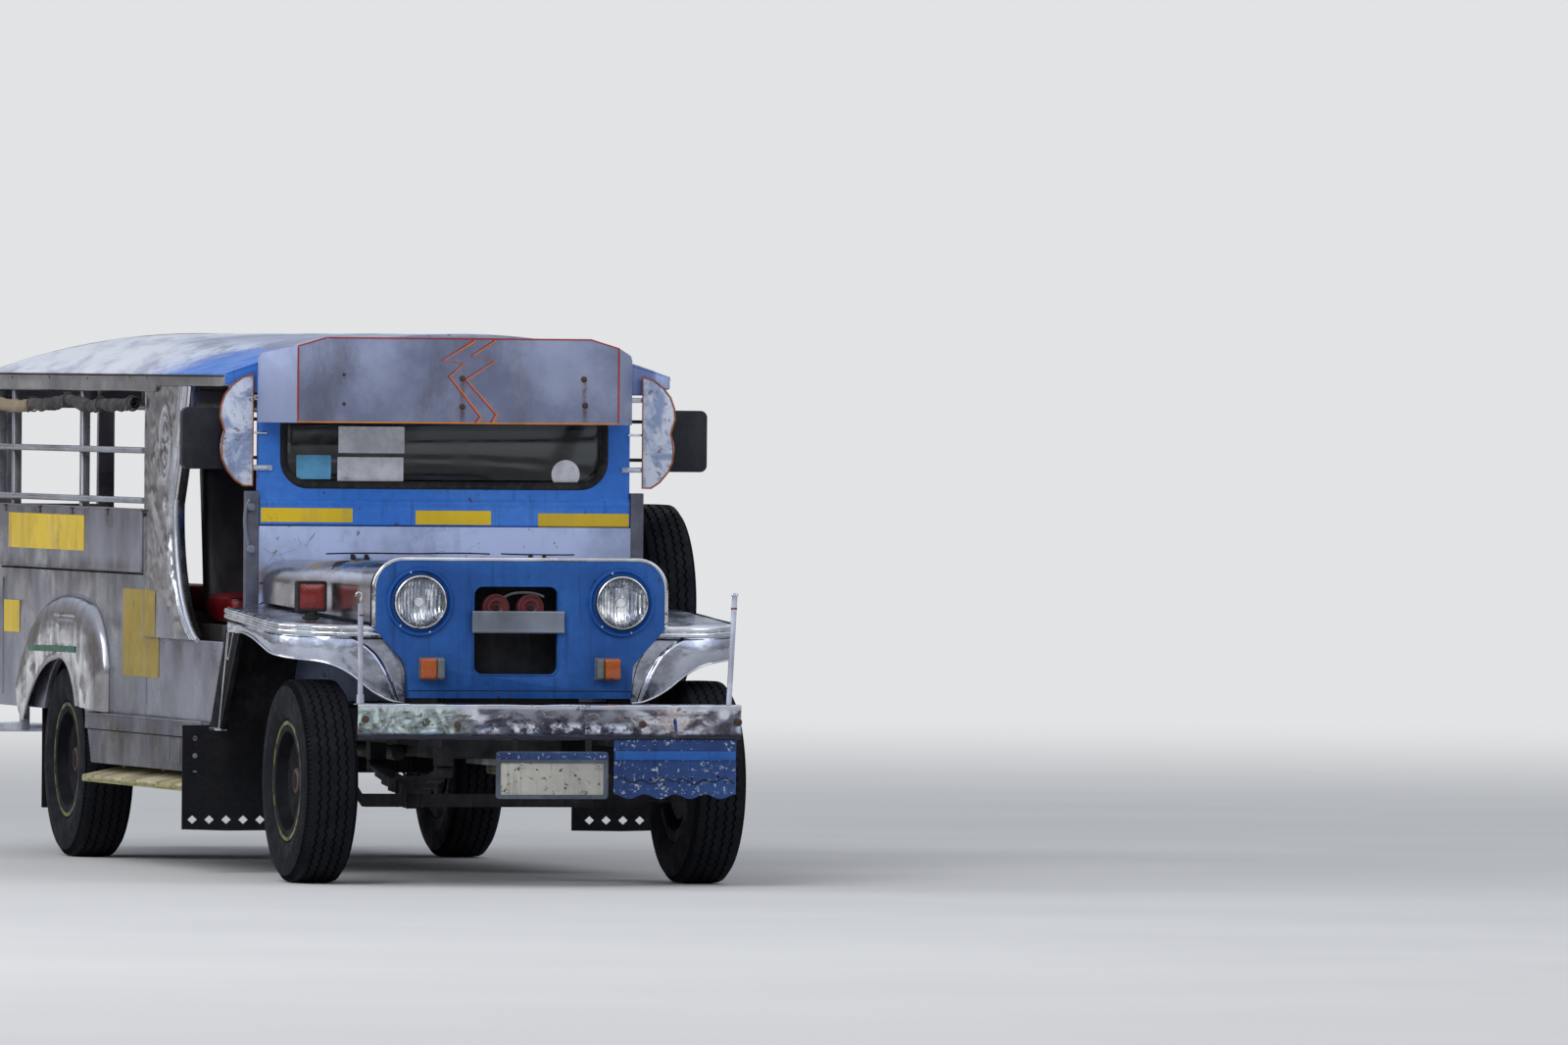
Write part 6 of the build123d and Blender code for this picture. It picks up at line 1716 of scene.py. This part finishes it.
def make_seats():
    cushion = stuffed_pad((-620, 1440, 850.5), (620, 1880, 958), 9, 16, "x", 155)
    placed(cushion, "front_seat_cushion", "vinyl", "seat_vinyl", ("front_seat",))
    back = stuffed_pad((-620, 1845, 860), (620, 1925, 1418), 9, 16, "x", 155)
    for vertex in back.data.vertices:
        vertex.co.y += 0.15 * (vertex.co.z - 0.98)
    placed(back, "front_seat_back", "vinyl_dark", "seat_vinyl")
    bench = stuffed_pad((-744, 2150, 890.5), (-385, 4330, 979), 8, 19, "y", 182)
    rest = stuffed_pad((-744, 2150, 981), (-691, 4330, 1224), 5, 16, "y", 182)
    for piece, name, fill in ((bench, "bench_cushion", 0.7), (rest, "bench_back", 0.6)):
        twin = copied(piece, mirror=True)
        stands = ("bench_cushions",) if name == "bench_cushion" else ()
        for pad, tail, stands in ((piece, "right", stands), (twin, "left", ())):
            placed(pad, f"{name}_{tail}", "vinyl", "seat_vinyl", stands)
    piping = [bead([(-612, 1448, z), (0, 1444, z + 2), (612, 1448, z)], 4.0) for z in (866, 944)]
    placed(joined(piping), "seat_piping", "vinyl_dark", "seat_vinyl")


def stuffed_pad(low, high, cap, voxel, across, pitch):
    """A stuffed pad between two corners: a rounded box, swollen by a cloth run, then sewn in channels."""
    scene = bpy.context.scene
    inset = cap * 0.7
    lo, hi = at(*(c + inset for c in low)), at(*(c - inset for c in high))
    pad = block(lo, hi, 0.022, 4)
    modified(pad, "REMESH", mode="VOXEL", voxel_size=voxel / 1000)
    start = [v.co.copy() for v in pad.data.vertices]
    only(pad)
    puff = pad.modifiers.new("Cloth", "CLOTH")
    puff.settings.quality = 4
    puff.settings.mass = 0.3
    puff.settings.use_pressure = True
    puff.settings.uniform_pressure_force = 4
    puff.settings.effector_weights.gravity = 0
    puff.point_cache.frame_start, puff.point_cache.frame_end = 1, CLOTH_STEPS
    for frame_number in range(1, CLOTH_STEPS + 1):
        scene.frame_set(frame_number)
    bpy.ops.object.modifier_apply(modifier=puff.name)
    scene.frame_set(1)
    limit_lo, limit_hi = at(*low), at(*high)
    axis = "xyz".index(across)
    for vertex, first in zip(pad.data.vertices, start):
        move = vertex.co - first
        if move.length > cap / 1000:
            vertex.co = first + move.normalized() * cap / 1000
        place = vertex.co[axis] * 1000
        sewn = groove(((place / pitch + 0.5) % 1 - 0.5) * pitch, SEAM_WIDTH)
        for k in range(3):
            if k != axis:
                middle = (lo[k] + hi[k]) / 2
                reach = (hi[k] - lo[k]) / 2
                share = min(1.0, abs(vertex.co[k] - middle) / reach)
                if share > 0.55 and hi[k] - lo[k] < 0.2:
                    vertex.co[k] -= copysign(SEAM_DEPTH * sewn, vertex.co[k] - middle)
            vertex.co[k] = min(limit_hi[k], max(limit_lo[k], vertex.co[k]))
    pad.data.update()
    return smooth(pad, 60)


class JEEPNEY_OT_soft_goods(bpy.types.Operator):
    """Stuffed seats and benches, and rolled tarpaulins with their ties"""

    bl_idname = "jeepney.soft_goods"
    bl_label = "Seats and tarpaulins"

    def execute(self, context):
        make_tarpaulins()
        make_seats()
        return {"FINISHED"}


# Lamps as name, place, size and power, the sky's tones from low to high, and the plain background
LAMPS = (("key_light", (-9, -12, 11), 9, 950), ("side_light", (-14, 3, 7), 8, 520),
         ("fill_light", (11, -9, 8), 10, 260))
SKY_TONES = ((0.0, (0.12, 0.105, 0.1)), (0.1, (0.3, 0.28, 0.28)), (0.32, (0.72, 0.82, 1.0)), (1.0, (1.0, 1.0, 1.0)))
BACKDROP = (0.76, 0.77, 0.78, 1)


def floor_finish():
    """Pale floor that runs into the background far away."""
    f = Finish("floor_grey", roughness=0.9, specular=0.1)
    distance = f.node("VectorMath", {"Vector": f.coord}, operation="LENGTH").outputs["Value"]
    f.ground((0.6, 4, 0.5), (0.3, 0.7), (0.74, 0.74, 0.745), (0.78, 0.78, 0.78))
    f.end()
    glow = f.node("Emission", {"Color": BACKDROP, "Strength": 1.0})
    blend = f.node("MixShader", {0: f.step(distance, 5, 30), 1: f.shader.outputs[0], 2: glow.outputs[0]})
    f.put(f.tree.nodes["Material Output"].inputs["Surface"], blend.outputs[0])
    return f.material


def make_sky(scene):
    """Plain soft light from all round, and a pale background to look at."""
    scene.world = bpy.data.worlds.new("studio")
    n = Nodes(scene.world)
    path = n.node("LightPath").outputs
    seen = n.node("Math", {0: path["Is Camera Ray"], 1: path["Is Transmission Ray"]}, operation="MAXIMUM")
    split = n.node("SeparateXYZ", {0: n.node("TexCoord").outputs["Generated"]})
    ramp = n.node("ValToRGB", {0: split.outputs["Z"]})
    for spot, colour in SKY_TONES:
        stop = ramp.color_ramp.elements[0] if spot == 0 else ramp.color_ramp.elements.new(spot)
        stop.position = spot
        stop.color = (*colour, 1)
    ramp.color_ramp.elements.remove(ramp.color_ramp.elements[-1])
    power = n.node("Math", {0: path["Is Glossy Ray"], 1: 0.45, 2: 0.5}, operation="MULTIPLY_ADD")
    light = n.tree.nodes["Background"]
    n.put(light.inputs["Color"], ramp.outputs["Color"])
    n.put(light.inputs["Strength"], power.outputs[0])
    back = n.node("Background", {"Color": BACKDROP})
    mixed = n.node("MixShader", {0: seen.outputs[0], 1: light.outputs[0], 2: back.outputs[0]})
    n.put(n.tree.nodes["World Output"].inputs["Surface"], mixed.outputs[0])


# Focal length in millimetres for a sensor 36 mm wide
PHOTO_LENS = 19352 * 36 / 1600


def make_camera(scene):
    """Camera at the photo's place and angle, with its long lens."""
    distance, bearing, height = 64.4, radians(14.30), 1.76
    yaw, pitch, roll = radians(15.14), radians(-0.47), radians(0.48)
    ahead = Vector((sin(yaw) * cos(pitch), cos(yaw) * cos(pitch), sin(pitch)))
    right = ahead.cross(Vector((0, 0, 1))).normalized()
    up = right.cross(ahead)
    across = right * cos(roll) + up * sin(roll)
    over = up * cos(roll) - right * sin(roll)
    turn = Matrix((across, over, -ahead)).transposed()
    data = bpy.data.cameras.new("photo_camera")
    data.sensor_width = 36
    data.lens = PHOTO_LENS
    data.clip_start, data.clip_end = 1, 1000
    holder = bpy.data.objects.new("photo_camera", data)
    place = Vector((-distance * sin(bearing), -distance * cos(bearing) + AXLE_Y, height))
    holder.matrix_world = Matrix.Translation(place) @ turn.to_4x4()
    scene.collection.objects.link(holder)
    scene.camera = holder


class JEEPNEY_OT_stage(bpy.types.Operator):
    """Pale floor, soft light and the camera"""

    bl_idname = "jeepney.stage"
    bl_label = "Floor, light and camera"

    def execute(self, context):
        scene = context.scene
        floor = added(bpy.ops.mesh.primitive_circle_add, vertices=96, radius=400, fill_type="NGON", location=(0, 0, 0))
        floor.name = "floor"
        floor.data.materials.append(floor_finish())
        make_sky(scene)
        for name, place, size, power in LAMPS:
            lamp = bpy.data.lights.new(name, "AREA")
            lamp.shape = "DISK"
            lamp.size = size
            lamp.energy = power
            holder = bpy.data.objects.new(name, lamp)
            holder.location = place
            holder.rotation_euler = (Vector((0, 0, 0.9)) - Vector(place)).to_track_quat("-Z", "Y").to_euler()
            scene.collection.objects.link(holder)
        make_camera(scene)
        scene.view_settings.view_transform = "Standard"
        return {"FINISHED"}


STEPS = (JEEPNEY_OT_stage, JEEPNEY_OT_wheels, JEEPNEY_OT_running_gear, JEEPNEY_OT_bumper, JEEPNEY_OT_grille,
         JEEPNEY_OT_front_body, JEEPNEY_OT_windshield, JEEPNEY_OT_sides, JEEPNEY_OT_roof, JEEPNEY_OT_soft_goods)


class JEEPNEY_PT_panel(bpy.types.Panel):
    """Sizes, colours and steps of the jeepney"""

    bl_idname = "JEEPNEY_PT_panel"
    bl_label = "Jeepney"
    bl_space_type = "VIEW_3D"
    bl_region_type = "UI"
    bl_category = "Jeepney"

    def draw(self, context):
        for group in (context.scene.jeepney_sizes, context.scene.jeepney_colours):
            box = self.layout.box()
            for name in group.bl_rna.properties.keys():
                if name not in ("rna_type", "name"):
                    box.prop(group, name)
        for step in STEPS:
            self.layout.operator(step.bl_idname)


CLASSES = (JeepneyColours, JeepneySizes, *STEPS, JEEPNEY_PT_panel)


def register():
    for cls in CLASSES:
        bpy.utils.register_class(cls)
    bpy.types.Scene.jeepney_colours = bpy.props.PointerProperty(type=JeepneyColours)
    bpy.types.Scene.jeepney_sizes = bpy.props.PointerProperty(type=JeepneySizes)


def unregister():
    del bpy.types.Scene.jeepney_sizes
    del bpy.types.Scene.jeepney_colours
    for cls in reversed(CLASSES):
        bpy.utils.unregister_class(cls)


def main():
    register()
    for step in STEPS:
        getattr(bpy.ops.jeepney, step.bl_idname.split(".")[1])()


if __name__ == "__main__":
    main()
